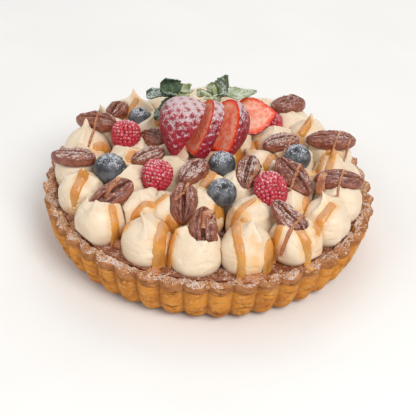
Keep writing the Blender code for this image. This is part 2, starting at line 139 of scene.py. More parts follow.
def mottledFinish(name, size, under, over, **values):
    material, tree, shader, coords = newFinish(name, **values)
    tree.links.new(mottled(tree, coords, size, 0.3, 0.7, under, over), shader.inputs["Base Color"])
    return material


# Shortcrust pressed in a fluted tin and baked: dry, open-pored, browner at the lip, darker along the cracks,
# with painted shade in the flute valleys and dents
def bakedShortcrust():
    material, tree, shader, coords, crackAndShade = newFinish(
        "bakedShortcrust", ["crackAndShade"], Roughness=0.8, Specular_IOR_Level=0.25)
    height = addNode(tree, "SeparateXYZ", {0: coords}, "Z")
    lip = addNode(tree, "MapRange", {0: height, 1: 0.0225, 2: 0.0265}, interpolation_type="SMOOTHSTEP")
    foot = addNode(tree, "MapRange", {0: height, 1: 0.009, 2: 0.001}, interpolation_type="SMOOTHSTEP")
    colour = mottled(tree, coords, 9, 0.35, 0.68, "DB923A", "BE7630")
    colour = mottled(tree, coords, 2.4, 0.50, 0.72, colour, "D8A263")
    browned = mottled(tree, coords, 4, 0.35, 0.65, "BA7F50", "A46A40")
    colour = layOver(tree, lip, 1.0, colour, browned)
    colour = layOver(tree, foot, 0.55, colour, "8C5A30")
    # darker along the cracks, and painted shade: the flute valleys and the dents are painted darker as well
    colour = layOver(tree, crackAndShade, 0.75, colour, "7E4A22")
    colour = layOver(tree, mottle(tree, coords, 1.1, 0.62, 0.74), 0.5, colour, "8A5526")
    sugar = icingSugar(tree, coords, 0.11, 0.8, 7.0)
    sugar = addNode(tree, "Math", {0: sugar, 1: lip}, operation="MULTIPLY")
    dusted(tree, shader, colour, sugar, 0.8, "E3D3C8")
    grain = {"Vector": coords, "Scale": perMetre(1.3), "Detail": 5.0, "Roughness": 0.65}
    relief(tree, shader, addNode(tree, "TexNoise", grain), 0.55)
    return material


# Caramel filling, boiled and set: dark brown, half glossy under the sugar
def setCaramel():
    material, tree, shader, coords = newFinish("setCaramel", Roughness=0.38)
    colour = mottled(tree, coords, 5, 0.35, 0.65, "7E4628", "96552C")
    dusted(tree, shader, colour, icingSugar(tree, coords, 0.02, 0.9, 5.0), 0.75, "D9C6BC")
    relief(tree, shader, mottle(tree, coords, 1.6, 0.2, 0.8, 4.0), 0.4)
    return material


# Whipped cream, piped: smooth ivory with a soft glow, stained peach where caramel seeps in
def whippedCream():
    light = glow(0.25, (10, 6, 3), 0.35)
    material, tree, shader, coords, seep = newFinish(
        "whippedCream", ["seep"], Roughness=0.42, Specular_IOR_Level=0.35, **light)
    colour = mottled(tree, coords, 14, 0.3, 0.7, "EFDDC4", "E6D1B5")
    patches = mottle(tree, coords, 7, 0.15, 0.75)
    seep = addNode(tree, "Math", {0: seep, 1: patches}, operation="MULTIPLY")
    colour = layOver(tree, seep, 0.75, colour, "EDB062")
    dusted(tree, shader, colour, icingSugar(tree, coords, -0.06, 0.7, 9.0), 0.5, "F4EEE6")
    cells = addNode(tree, "TexVoronoi", {"Vector": coords, "Scale": perMetre(5.5)}, "Distance")
    bubbles = addNode(tree, "MapRange", {0: cells, 1: 0.06, 2: 0.15})
    grain = addNode(tree, "TexNoise", {"Vector": coords, "Scale": perMetre(3.0), "Detail": 3.0})
    grain = addNode(tree, "Math", {0: bubbles, 1: 0.5, 2: grain}, operation="MULTIPLY_ADD", use_clamp=True)
    relief(tree, shader, grain, 0.5)
    return material


# Caramel sauce, poured warm: amber and clear on steep sides, dull where sugar has fallen on it
def pouredCaramel(name, light, deep, dusting):
    coat = {"Coat_Weight": 0.25, "Coat_Roughness": 0.15, **glow(0.30, (6, 2, 0.6), 0.30)}
    material, tree, shader, coords, edge = newFinish(name, ["edge"], Roughness=0.28, **coat)
    colour = mottled(tree, coords, 6, 0.3, 0.7, light, deep)
    colour = layOver(tree, edge, 0.45, colour, "EBA44C")
    dusted(tree, shader, colour, icingSugar(tree, coords, dusting, 0.8, 5.0), 0.75, "CB9F7C", (0.26, 0.75))
    relief(tree, shader, mottle(tree, coords, 1.5, 0.2, 0.8, 3.0), 0.15)
    return material


# Roasted pecan halves: waxy red-brown ridges, with painted shade nearly black in the grooves
def roastedPecan():
    material, tree, shader, coords, groove, heavy = newFinish(
        "roastedPecan", ["groove", "dusted"], Roughness=0.34, Coat_Weight=0.35, Coat_Roughness=0.2)
    colour = mottled(tree, coords, 3.0, 0.35, 0.68, "7A3B2A", "9C5A42")
    colour = layOver(tree, mottle(tree, coords, 1.0, 0.55, 0.75), 0.5, colour, "B27A58")
    # painted shade: the grooves are painted nearly black
    colour = layOver(tree, groove, 1.0, colour, "26110B")
    drift = icingSugar(tree, coords, 0.16, 1.0, 4.0)
    heavy = addNode(tree, "Math", {0: drift, 1: heavy}, operation="MULTIPLY")
    sugar = icingSugar(tree, coords, 0.01, 1.0, 6.0)
    sugar = addNode(tree, "Math", {0: sugar, 1: heavy}, operation="MAXIMUM")
    dusted(tree, shader, colour, sugar, 0.75, "D6C2BA", (0.32, 0.8))
    skin = addNode(tree, "TexNoise", {"Vector": coords, "Scale": perMetre(1.1), "Detail": 4.0})
    relief(tree, shader, skin, 0.5)
    return material


# Blueberry skin: blue-black under a grey bloom, with sugar clinging in specks, and nearly black in the dimple
# of the crown: its bare dark skin with painted shade
def blueberrySkin():
    material, tree, shader, coords, crown = newFinish(
        "blueberrySkin", ["crown"], Roughness=0.5, Specular_IOR_Level=0.45)
    colour = mottled(tree, coords, 5, 0.3, 0.7, "303236", "70747A", 4.0)
    # the crown's dark skin and painted shade: the dimple is painted nearly black
    colour = layOver(tree, crown, 1.0, colour, "0F1013")
    dusted(tree, shader, colour, icingSugar(tree, coords, 0.13, 0.85, 4.0), 0.85, "C9CCD6")
    relief(tree, shader, mottle(tree, coords, 0.9, 0.2, 0.8, 3.0), 0.15)
    return material


# Raspberry drupelets: thin moist skin full of juice; the core between them is painted deep red as painted
# shade
def raspberrySkin():
    light = glow(0.2, (4, 0.8, 0.8), 0.3)
    material, tree, shader, coords, depth = newFinish("raspberrySkin", ["depth"], Roughness=0.30, **light)
    colour = mottled(tree, coords, 6, 0.3, 0.7, "B6283A", "C93A4A")
    # painted shade: the core that shows between the drupelets is painted deep red
    colour = layOver(tree, depth, 1.0, colour, "6A0E22")
    dusted(tree, shader, colour, icingSugar(tree, coords, 0.10, 0.9, 4.0), 0.75, "EDD2D4", (0.28, 0.7))
    return material


# Strawberry skin: glossy deep red, pitted, under a heavy fall of sugar
def strawberrySkin():
    light = glow(0.12, (4, 1, 1), 0.3)
    material, tree, shader, coords, pit = newFinish("strawberrySkin", ["pit"], Roughness=0.34, **light)
    colour = mottled(tree, coords, 9, 0.3, 0.7, "8C1628", "A62034")
    bare = addNode(tree, "Math", {0: pit, 1: -0.9, 2: 1.0}, operation="MULTIPLY_ADD")
    sugar = icingSugar(tree, coords, 0.36, 0.8, 3.0)
    sugar = addNode(tree, "Math", {0: sugar, 1: bare}, operation="MULTIPLY")
    dusted(tree, shader, colour, sugar, 0.78, "DBCDD0", (0.30, 0.75))
    relief(tree, shader, mottle(tree, coords, 1.6, 0.2, 0.8, 3.0), 0.25)
    return material


# Cut strawberry: wet, red at the rim, orange-red inside and pale with fine rays at the core
def cutStrawberry():
    light = glow(0.2, (5, 1.2, 0.8), 0.3)
    # inside is in millimetres from the skin
    material, tree, shader, coords, inside = newFinish("cutStrawberry", ["inside"], Roughness=0.24, **light)
    rim = addNode(tree, "MapRange", {0: inside, 1: 0.2, 2: 1.5}, interpolation_type="SMOOTHSTEP")
    core = addNode(tree, "MapRange", {0: inside, 1: 1.3, 2: 3.3}, interpolation_type="SMOOTHSTEP")
    rays = mottle(tree, coords, 3.2, 0.38, 0.62, 4.0)
    colour = layOver(tree, rim, 1.0, "DC301C", "F2582C")
    pale = addNode(tree, "Math", {0: rays, 1: 0.60, 2: 0.34}, operation="MULTIPLY_ADD")
    colour = layOver(tree, core, pale, colour, "F6B89C")
    dusted(tree, shader, colour, icingSugar(tree, coords, -0.02, 1.0, 5.0), 0.6, "F4DAD2")
    relief(tree, shader, rays, 0.12)
    return material


# Strawberry leaf: matt and hairy, dark to yellow-green, caught full of sugar
def strawberryLeaf():
    material, tree, shader, coords, pale, vein = newFinish("strawberryLeaf", ["pale", "vein"], Roughness=0.6)
    dark = mottled(tree, coords, 4, 0.3, 0.7, "2E4734", "435F42")
    light = mottled(tree, coords, 5, 0.3, 0.7, "93A06B", "B9BE93")
    colour = layOver(tree, pale, 1.0, dark, light)
    colour = layOver(tree, vein, 0.45, colour, "A9B98A")
    dusted(tree, shader, colour, icingSugar(tree, coords, 0.12, 0.8, 5.0), 0.8, "DDE3DA")
    relief(tree, shader, mottle(tree, coords, 1.2, 0.2, 0.8, 3.0), 0.25)
    return material


# Crumbs and chips of shortcrust and broken nut: dry and pale where they broke
def brokenCrumb():
    material, tree, shader, coords = newFinish("brokenCrumb", Roughness=0.85)
    colour = mottled(tree, coords, 2.5, 0.35, 0.65, "D9AE7C", "B98255")
    dusted(tree, shader, colour, icingSugar(tree, coords, 0.05, 0.8, 4.0), 1.0, "EFE7DF")
    relief(tree, shader, mottle(tree, coords, 0.8, 0.2, 0.8, 4.0), 0.3)
    return material


# Shaping

def around(turn, reach, height):
    return Vector((math.cos(turn) * reach, math.sin(turn) * reach, height))


def roundBody(segments, rings, shape, mark=None):
    # a closed body: shape gives the place of a point, and its mark if there is one, by turn and ring
    bm = bmesh.new()
    layer = bm.verts.layers.float.new(mark) if mark else None
    bmesh.ops.create_uvsphere(bm, u_segments=segments, v_segments=rings, radius=1.0)
    for vert in bm.verts:
        turn = math.atan2(vert.co.y, vert.co.x)
        ring = round(math.acos(max(-1.0, min(1.0, -vert.co.z))) / math.pi * rings)
        if mark:
            vert.co, vert[layer] = shape(turn, ring)
        else:
            vert.co = shape(turn, ring)
    return bm


def curveThrough(rows, share, smooth=True):
    # the values of rows at a share of the way, where a row starts with its own share
    last = len(rows) - 1
    index = max(i for i in range(last) if rows[i][0] <= share + 1e-9)
    picks = [min(max(pick, 0), last) for pick in range(index - 1, index + 3)]
    before, start, end, after = (np.array(rows[pick][1:], float) for pick in picks)
    step = (share - rows[index][0]) / (rows[index + 1][0] - rows[index][0])
    if not smooth:
        return start + (end - start) * step
    return 0.5 * (2 * start + (end - before) * step + (2 * before - 5 * start + 4 * end - after) * step**2
                  + (3 * start - before - 3 * end + after) * step**3)


def frameAlong(middle, heading, pitch, roll=0.0):
    # local X runs along the heading, raised by the pitch
    turn = Matrix.Rotation(math.radians(heading), 4, "Z")
    raised = Matrix.Rotation(-math.radians(pitch), 4, "Y")
    twist = Matrix.Rotation(math.radians(roll), 4, "X")
    return Matrix.Translation(Vector(middle)) @ turn @ raised @ twist


def ripple(x, y, z):
    return noise.noise(Vector((x, y, z)))


def lump(point, size, seed):
    return ripple(point[0] / size + seed, point[1] / size, point[2] / size)


def bell(value, width):
    return math.exp(-((value / width) ** 2))


def soften(bm, verts, factor):
    bmesh.ops.smooth_vert(bm, verts=verts, factor=factor, use_axis_x=True, use_axis_y=True, use_axis_z=True)


def joinPart(bm, part):
    mesh = bpy.data.meshes.new("part")
    part.to_mesh(mesh)
    part.free()
    bm.from_mesh(mesh)
    bpy.data.meshes.remove(mesh)


def groundUnder(x, y, among=surfaces):
    # the highest of these surfaces over this place, and its normal
    best = None
    for tree, lowX, highX, lowY, highY in among:
        if lowX <= x <= highX and lowY <= y <= highY:
            hit, normal, _, _ = tree.ray_cast(Vector((x, y, aboveAll)), down)
            if hit is not None and (best is None or hit.z > best[0].z):
                best = (hit, normal)
    return best


def finishPiece(name, bm, materials, replaced=(), sharp=None):
    if replaced:      # what replaces a solid can carry what is laid on it later
        xs, ys, _ = zip(*(vert.co for vert in bm.verts))
        surfaces.append((BVHTree.FromBMesh(bm), min(xs), max(xs), min(ys), max(ys)))
    bmesh.ops.scale(bm, vec=(mm, mm, mm), verts=bm.verts)
    mesh = bpy.data.meshes.new(name)
    bm.to_mesh(mesh)
    bm.free()
    for material in materials:
        mesh.materials.append(material)
    mesh.shade_smooth()
    if sharp is not None:
        mesh.set_sharp_from_angle(angle=math.radians(sharp))
    piece = bpy.data.objects.new(name, mesh)
    bpy.context.scene.collection.objects.link(piece)
    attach(piece, "root")
    if replaced:
        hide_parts(*replaced)
    return piece


# Crust

crust = {
    "flutes": 44, "pointsPerFlute": 14, "rings": 96, "turn": 1.8, "depth": 3.6, "widest": 99.9,
    "roughSide": (-75, 25), "crumbly": 1.5,     # degrees where the rim is crumbly, and how much more
    "lipFrom": 25, "lipLumps": ((5, 9, 1.0), (2.2, 17, 0.7)),      # size, seed and height of the lumps
    "sideLumps": 9, "lipNibbles": 3, "pores": 0.5,
    "crackDepth": 1.2, "crackHeights": (5, 29), "crackWidth": 0.09, "crackRise": 3.2,
    "lipCrack": 23.8, "lipCrackWander": 2.5, "lipCrackWidth": 0.55,
    "dentHeight": (6, 20), "dentCurve": (-3, 3), "dentDepth": (0.3, 1.3), "dentWidth": 0.9, "dentEnds": 1.4,
    # share of the way round the section, reach, height, share of the flute depth, roughness
    "rows": ((0.00, 0, 0, 0, 0), (0.03, 84.0, 0, 0.75, 0), (0.05, 87.0, 0.5, 0.8, 0.0),
             (0.10, 89.8, 2.2, 0.85, 0.3), (0.16, 92.5, 4.6, 0.9, 0.5), (0.28, 95.4, 10.5, 0.94, 0.8),
             (0.40, 97.0, 16, 0.95, 0.9),
             (0.52, 98.1, 21.6, 0.98, 0.9), (0.60, 98.8, 26.0, 1.0, 1.0), (0.65, 99.7, 28.4, 1.0, 1.0),
             (0.69, 99.0, 30.0, 0.85, 1.2), (0.74, 96.4, 30.6, 0.55, 1.6), (0.80, 93.4, 30.2, 0.25, 1.6),
             (0.85, 91.4, 29.0, 0.0, 1.2), (0.88, 90.4, 26.5, 0, 0.5), (0.97, 85.0, 5.0, 0, 0),
             (1.00, 0, 5.0, 0, 0)),
}


def makeCrust(material):
    rings = crust["rings"]
    table = [curveThrough(crust["rows"], ring / rings, smooth=False) for ring in range(rings + 1)]
    low, high = (math.radians(side) for side in crust["roughSide"])
    crackLow, crackHigh = crust["crackHeights"]
    draw = random.Random(44)
    dents = []      # one in each lobe between two flutes
    for _ in range(crust["flutes"] + 1):
        dents.append([draw.uniform(*crust[part]) for part in ("dentHeight", "dentCurve", "dentDepth")])

    def crackAt(turn, wave, spot, height):
        field = ripple(spot.x / 9, spot.y / 9, height / crust["crackRise"])
        veins = max(0.0, 1 - abs(field) / crust["crackWidth"]) * min(1, max(0, lump(spot, 8, 31) * 4 + 0.3))
        lobe = (turn / math.tau + 0.5) * crust["flutes"]
        dentHeight, curve, dentDepth = dents[int(lobe)]
        off = 2 * (lobe % 1) - 1
        dent = bell(height - dentHeight - curve * off * off, crust["dentWidth"]) * dentDepth
        lipLine = crust["lipCrack"] + lump(spot, 12, 41) * crust["lipCrackWander"]
        split = bell(height - lipLine, crust["lipCrackWidth"]) * min(1, max(0, lump(spot, 10, 51) * 3 + 0.8))
        # the dents go into the mark as well, so they are painted darker: painted shade in the dents
        return max(veins * wave, dent * max(0, 1 - crust["dentEnds"] * off * off), split * wave)

    def shape(turn, ring):
        reach, height, flute, rough = table[ring]
        direction = around(turn, 1, 0)
        wave = abs(math.sin(turn * crust["flutes"] / 2))
        spot = direction * reach + upwards * height
        crumbly = rough * (crust["crumbly"] if low < turn < high else 1.0)
        reach -= crust["depth"] * flute * (1 - wave)
        reach -= max(0.0, lump(spot, crust["sideLumps"], 3) + 0.1) * 0.9 * rough
        if height > crust["lipFrom"] and ring < rings * 0.9:
            lumps = sum(lump(spot, size, seed) * tall for size, seed, tall in crust["lipLumps"])
            height += lumps * crumbly - 0.6
            reach -= abs(lump(spot, crust["lipNibbles"], 21)) * 1.2 * crumbly
        crackAndShade = crackAt(turn, wave, spot, height) if crackLow < height < crackHigh and flute > 0.8 else 0.0
        reach -= crackAndShade * crust["crackDepth"]
        if ring > 4 and height < crust["lipFrom"] + 1:
            reach -= abs(lump(spot, 2.6, 61)) * crust["pores"]
        # painted shade: the flute valleys join the crack mark, so they are painted darker
        crackAndShade = max(crackAndShade, 0.7 * flute * (1 - wave) ** 3)
        point = direction * min(reach, crust["widest"]) + upwards * max(height, 0)
        return Matrix.Rotation(math.radians(crust["turn"]), 3, "Z") @ point, crackAndShade

    bm = roundBody(crust["flutes"] * crust["pointsPerFlute"], rings, shape, "crackAndShade")
    finishPiece("flutedCrust", bm, [material], ["crust"])


# Caramel filling

filling = {
    "segments": 220, "rings": 70, "bumpy": 26, "fullSide": (-2.9, -1.3), "fullFrom": 80, "fullBy": 0.9,
    "rows": ((0.00, 0, 5.3), (0.06, 84.5, 5.3), (0.22, 90.6, 27.0), (0.26, 90.9, 28.3), (0.30, 90.0, 28.8),
             (0.50, 78, 28.4), (0.70, 55, 28.2), (1.00, 0, 28.2)),
}


def makeFilling(material):
    rings = filling["rings"]
    table = [curveThrough(filling["rows"], ring / rings, smooth=False) for ring in range(rings + 1)]
    low, high = filling["fullSide"]

    def shape(turn, ring):
        reach, height = table[ring]
        point = around(turn, reach, height)
        if height > filling["bumpy"]:
            point.z += lump(point, 6, 5) * 0.7 + lump(point, 2, 8) * 0.25
            if low < turn < high and reach > filling["fullFrom"]:     # nearly flush with the lip here
                point.z += filling["fullBy"]
        return point

    bm = roundBody(filling["segments"], rings, shape)
    finishPiece("caramelFilling", bm, [material], ["caramel_filling"])


# Pecan halves

pecans = {
    "height": 9.5, "segments": 88, "rings": 60, "dusted": (2, 4, 7, 9, 10, 14), "ridge": 0.64, "belly": 0.38,
    "middleGroove": (0.12, 3.8), "sideGroove": (0.08, 1.9), "sides": (0.44, 0.56),      # widths and depths
    # place of the middle, heading, pitch, roll, length, width
    "halves": (
        ((-71.4, 31.6, 48.5), -9, 0, 8, 26.0, 14.5), ((-80.5, -7.5, 47.0), -8, 4, -6, 27.5, 15.0),
        ((-54.4, -44.3, 47.5), 32, 22, 18, 29.0, 15.5), ((-36.5, -4.0, 48.0), 32, 6, 0, 21.5, 13.5),
        ((-34.0, 19.2, 46.0), -25, 0, 0, 21.0, 14.0), ((-13.6, -48.5, 48.5), 90, 24, 4, 26.5, 15.5),
        ((-9.0, -21.0, 51.0), 58, 6, -10, 23.0, 15.0), ((-1.9, -69.9, 47.0), -88, -40, 0, 26.0, 16.0),
        ((22.2, -17.2, 50.0), 79, 18, 0, 25.0, 14.0), ((42.3, 18.7, 48.5), 17, 3, 0, 23.0, 14.5),
        ((48.2, -17.8, 49.5), -54, -14, 0, 31.0, 17.0), ((72.7, 23.5, 49.5), 2, 0, 4, 30.5, 14.5),
        ((75.0, -18.0, 48.5), 5, -6, 6, 29.5, 14.5), ((44.6, -57.4, 47.5), -40, -28, 0, 27.0, 15.0),
        ((47.5, 63.5, 49.0), 24, 0, 0, 24.0, 15.0), ((-61.0, 48.0, 46.5), 70, 0, 0, 20.0, 13.0),
    ),
}


def makePecan(number, spot, heading, pitch, roll, length, width, material):
    draw = random.Random(300 + number)
    seed = draw.uniform(0, 60)
    sides = [draw.uniform(*pecans["sides"]) for _ in range(2)]
    middleWidth, middleDepth = pecans["middleGroove"]
    sideWidth, sideDepth = pecans["sideGroove"]
    place = frameAlong(spot, heading, pitch, roll)

    def shape(turn, ring):
        along = -math.cos(math.pi * ring / pecans["rings"])
        taper = max(0.0, 1 - abs(along) ** 2.4) ** 0.62 * (1 + 0.08 * along)
        across = math.cos(turn)
        up = math.sin(turn)
        wander = ripple(along * 1.6, seed, 0) * 0.10
        outline = 1 + 0.16 * ripple(along * 2.6, math.copysign(3, across), seed)
        groove = 0.0
        if up > 0:
            middle = bell(across - wander, middleWidth) - 0.35 * bell(across - wander, middleWidth / 3)
            off = abs(across - wander) - sides[across > wander]
            beside = bell(off, sideWidth) * (0.55 + 0.45 * ripple(along * 2, seed, 9))
            # the groove mark, which paints shade into the grooves
            groove = max(middle, beside * 0.95)
            outline *= 1 - 0.16 * abs(ripple(along * length / 11, turn * 3.5, seed + 3))
            rise = up**0.50 * pecans["height"] * pecans["ridge"] - middle * middleDepth - beside * sideDepth
            rise += ripple(along * length / 9, across * 4, seed) * 0.7
            rise += ripple(along * length / 3.4, across * 6, seed + 5) * 0.45
            rise -= abs(ripple(along * length / 11, across * 5.5, seed + 8)) * 1.5
        else:
            rise = up * pecans["height"] * pecans["belly"]
        rise *= 0.30 + 0.70 * taper
        local = Vector((along * length / 2, across * width / 2 * taper * outline, rise))
        if abs(along) > 0.999:
            local.z = -0.6
        return place @ local, min(1.0, groove) * taper

    bm = roundBody(pecans["segments"], pecans["rings"], shape, "groove")
    dusted = bm.verts.layers.float.new("dusted")
    for vert in bm.verts:
        vert[dusted] = float(number in pecans["dusted"])
    bmesh.ops.recalc_face_normals(bm, faces=bm.faces)
    finishPiece(f"pecanHalf{number:02d}", bm, [material], [f"pecan_{number:02d}"])


# Blueberries

blueberries = {
    "segments": 60, "rings": 44, "flat": 0.93, "crownWidth": 0.40, "crownRise": 0.07, "crownDepth": 0.24,
    # place of the middle, width, lean of the crown
    "berries": (
        ((-45.7, 42.4, 47.0), 14.0, (0.2, -0.1)), ((-57.7, -17.4, 48.0), 19.5, (0.5, 0.6)),
        ((6.8, -10.2, 51.0), 16.4, (-0.3, 0.3)), ((7.6, -36.5, 49.0), 16.9, (0.2, -0.5)),
        ((51.1, 3.4, 49.5), 17.0, (-0.2, -0.4)),
    ),
}


def makeBlueberry(number, spot, width, lean, material):
    half = width / 2
    axis = Vector((*lean, 1.0)).to_track_quat("Z", "Y").to_matrix().to_4x4()
    place = Matrix.Translation(Vector(spot)) @ axis

    def shape(turn, ring):
        polar = math.pi * (1 - ring / blueberries["rings"])
        point = around(turn, math.sin(polar), blueberries["flat"] * math.cos(polar))
        point *= half * (1 + 0.015 * lump(point, 0.6, number))
        crown = 0.0
        out = math.sin(polar) / blueberries["crownWidth"]
        if polar < math.pi / 2 and out < 1.25:
            lobes = 0.5 + 0.5 * math.cos(5 * turn + number)
            rim = blueberries["crownRise"] * bell(out - 0.78, 0.16) * (0.4 + 0.6 * lobes)
            point.z += half * (rim - blueberries["crownDepth"] * bell(out, 0.42))
            # strongest at the bottom of the dimple, where the shade is painted
            crown = bell(out, 0.50)
        return place @ point, crown

    bm = roundBody(blueberries["segments"], blueberries["rings"], shape, "crown")
    finishPiece(f"blueberry{number}", bm, [material], [f"blueberry_{number}"])


# Raspberries

raspberries = {
    "drupelet": 1.5, "spacing": 2.4, "closer": 1.06,      # radius and distance of the drupelets
    "shift": 0.25, "swell": (0.90, 1.12), "blunt": 0.85, "taper": 0.10, "coreSegments": 28, "coreRings": 20,
    # place of the middle, width, length, heading and pitch of the axis
    "berries": (
        ((-51.9, 17.6, 49.5), 18.5, 19.0, 90, 60), ((-30.1, -24.8, 50.0), 18.5, 20.0, 75, 50),
        ((35.2, -33.4, 49.5), 19.4, 24.0, 105, 32), ((34.2, 47.4, 43.6), 19.5, 20.5, 80, 50),
    ),
}


def makeRaspberry(number, spot, width, length, heading, pitch, material):
    draw = random.Random(500 + number)
    place = frameAlong(spot, heading, pitch)
    size = raspberries["drupelet"]
    shift = raspberries["shift"]
    rows = round(math.pi * (width + length) / 4 / raspberries["spacing"] * raspberries["closer"])

    def section(polar, inset):
        # reach and place along the axis of a berry that is smaller by the inset
        reach = (width / 2 - inset) * math.sin(polar) ** raspberries["blunt"]
        reach *= 1 - raspberries["taper"] * math.cos(polar)
        return reach, -math.cos(polar) * (length / 2 - inset)

    def coreShape(turn, ring):
        reach, along = section(math.pi * ring / raspberries["coreRings"], size * 0.75)
        return place @ Vector((along, math.cos(turn) * reach, math.sin(turn) * reach)), 1.0

    # the core body under the drupelets is marked so that it is painted as shade in the gaps
    bm = roundBody(raspberries["coreSegments"], raspberries["coreRings"], coreShape, "depth")
    for row in range(rows):
        reach, along = section(math.pi * (row + 0.5) / rows, size)
        count = max(1, round(math.tau * reach / raspberries["spacing"]))
        phase = draw.random()
        for step in range(count):
            turn = (step + phase) / count * math.tau + draw.uniform(-0.06, 0.06)
            bump = size * draw.uniform(*raspberries["swell"])
            centre = (along + draw.uniform(-shift, shift), math.cos(turn) * reach, math.sin(turn) * reach)
            matrix = place @ Matrix.Translation(centre)
            bmesh.ops.create_icosphere(bm, subdivisions=2, radius=bump, matrix=matrix)
    bmesh.ops.recalc_face_normals(bm, faces=bm.faces)
    finishPiece(f"raspberry{number}", bm, [material], [f"raspberry_{number}"])


# Strawberry slices

strawberries = {
    "segments": 120, "rings": 84, "pit": 0.8, "pitWidth": 1.15,
    "seeds": 150, "seedSize": (0.35, 0.60, 0.30), "seedSunk": 0.45, "seedTurn": 2.39996, "seedEdge": 0.9,
    "flesh": (0.95, 0.93, 0.90, 0.86, 0.80, 0.70, 0.50),      # each ring of flesh to the one before
    # share of the way, share of the length from the calyx, share of the half width
    "profile": ((0.00, 1.00, 0.00), (0.10, 0.93, 0.25), (0.19, 0.84, 0.44), (0.33, 0.68, 0.72),
                (0.49, 0.47, 0.94), (0.66, 0.26, 1.00), (0.81, 0.09, 0.82), (0.92, 0.01, 0.44),
                (1.00, 0.03, 0.00)),
    # name, half width, calyx end, tip, direction across the slices, where across it is cut
    "slices": (
        ("left", 17.5, (-11.5, 25.0, 69.0), (-21.5, -5.0, 50.5), (0.86, 0.22, -0.46), (-30.0, 0.6)),
        ("middle", 18.0, (-4.5, 26.0, 67.5), (-6.0, -6.0, 50.5), (0.86, 0.30, -0.41), (-3.8, 3.2)),
        ("right", 17.0, (3.0, 28.5, 66.0), (12.0, -1.0, 51.5), (0.72, 0.47, -0.51), (-2.0, 30.0)),
        ("far", 12.5, (16.2, 33.3, 57.8), (38.9, 40.2, 58.0), (0.0, 0.64, -0.77), (0.4, 4.6)),
    ),
}


def seedPlaces(halfWidth, length):
    seeds = []
    for number in range(strawberries["seeds"]):
        share = 0.06 + 0.82 * (number + 0.5) / strawberries["seeds"]      # none at the two ends
        fall, out = curveThrough(strawberries["profile"], share)
        seeds.append(around(number * strawberries["seedTurn"], max(out, 0) * halfWidth, -fall * length))
    return seeds


def cutFace(bm, cut, facing, inside):
    # cuts the berry across and fills the cut with rings of flesh towards the middle
    whole = list(bm.verts) + list(bm.edges) + list(bm.faces)
    bmesh.ops.bisect_plane(bm, geom=whole, plane_co=(cut, 0, 0), plane_no=(facing, 0, 0), clear_outer=True)
    skinFaces = set(bm.faces)
    rim = [edge for edge in bm.edges if edge.is_boundary]
    ends = {vert for edge in rim for vert in edge.verts}
    middle = sum((vert.co for vert in ends), Vector()) / len(ends)
    for shrink in strawberries["flesh"]:
        grown = bmesh.ops.extrude_edge_only(bm, edges=rim)["geom"]
        rim = [part for part in grown if isinstance(part, bmesh.types.BMEdge) and part.is_boundary]
        for vert in {vert for edge in rim for vert in edge.verts}:
            arm = vert.co - middle
            vert[inside] += arm.length * (1 - shrink)
            vert.co = middle + arm * shrink
    bmesh.ops.holes_fill(bm, edges=rim, sides=0)
    for made in set(bm.faces) - skinFaces:
        made.material_index = 1


def addSeed(bm, seed):
    outward = Vector((seed.x, seed.y, 0)).normalized()
    turned = outward.to_track_quat("Z", "Y").to_matrix().to_4x4()
    sunk = Matrix.Translation(seed - outward * strawberries["seedSunk"])
    matrix = sunk @ turned @ Matrix.Diagonal((*strawberries["seedSize"], 1))
    made = bmesh.ops.create_icosphere(bm, subdivisions=1, radius=1.0, matrix=matrix)["verts"]
    for face in {face for vert in made for face in vert.link_faces}:
        face.material_index = 2


def makeStrawberry(name, halfWidth, calyxEnd, tip, across, cuts, skin, flesh, husk):
    upward = Vector(calyxEnd) - Vector(tip)
    length = upward.length
    upward.normalize()
    side = Vector(across)
    side = (side - upward * side.dot(upward)).normalized()
    axes = Matrix((side, upward.cross(side), upward)).transposed().to_4x4()
    place = Matrix.Translation(Vector(calyxEnd)) @ axes
    rings = strawberries["rings"]
    table = [curveThrough(strawberries["profile"], ring / rings) for ring in range(rings + 1)]
    seeds = seedPlaces(halfWidth, length)
    near = kdtree.KDTree(len(seeds))
    for number, seed in enumerate(seeds):
        near.insert(seed, number)
    near.balance()

    def shape(turn, ring):
        fall, out = table[ring]
        reach = max(out, 0) * halfWidth * (1 + 0.02 * math.sin(2 * turn + 1))
        point = around(turn, reach, -fall * length)
        pit = bell(near.find(point)[2], strawberries["pitWidth"])
        shrink = strawberries["pit"] * pit / max(reach, 4)
        point.x *= 1 - shrink
        point.y *= 1 - shrink
        return point, pit

    bm = roundBody(strawberries["segments"], rings, shape, "pit")
    inside = bm.verts.layers.float.new("inside")
    sides = [(cut, facing) for cut, facing in zip(cuts, (-1, 1)) if abs(cut) < halfWidth]
    for cut, facing in sides:
        cutFace(bm, cut, facing, inside)
    for seed in seeds:      # none on the cuts
        if all(facing * (seed.x - cut) < -strawberries["seedEdge"] for cut, facing in sides):
            addSeed(bm, seed)
    bmesh.ops.transform(bm, matrix=place, verts=bm.verts)
    bmesh.ops.recalc_face_normals(bm, faces=bm.faces)
    finishPiece(f"strawberrySlice{name.title()}", bm, [skin, flesh, husk],
                [f"strawberry_slice_{name}"], sharp=50)


# Strawberry leaves

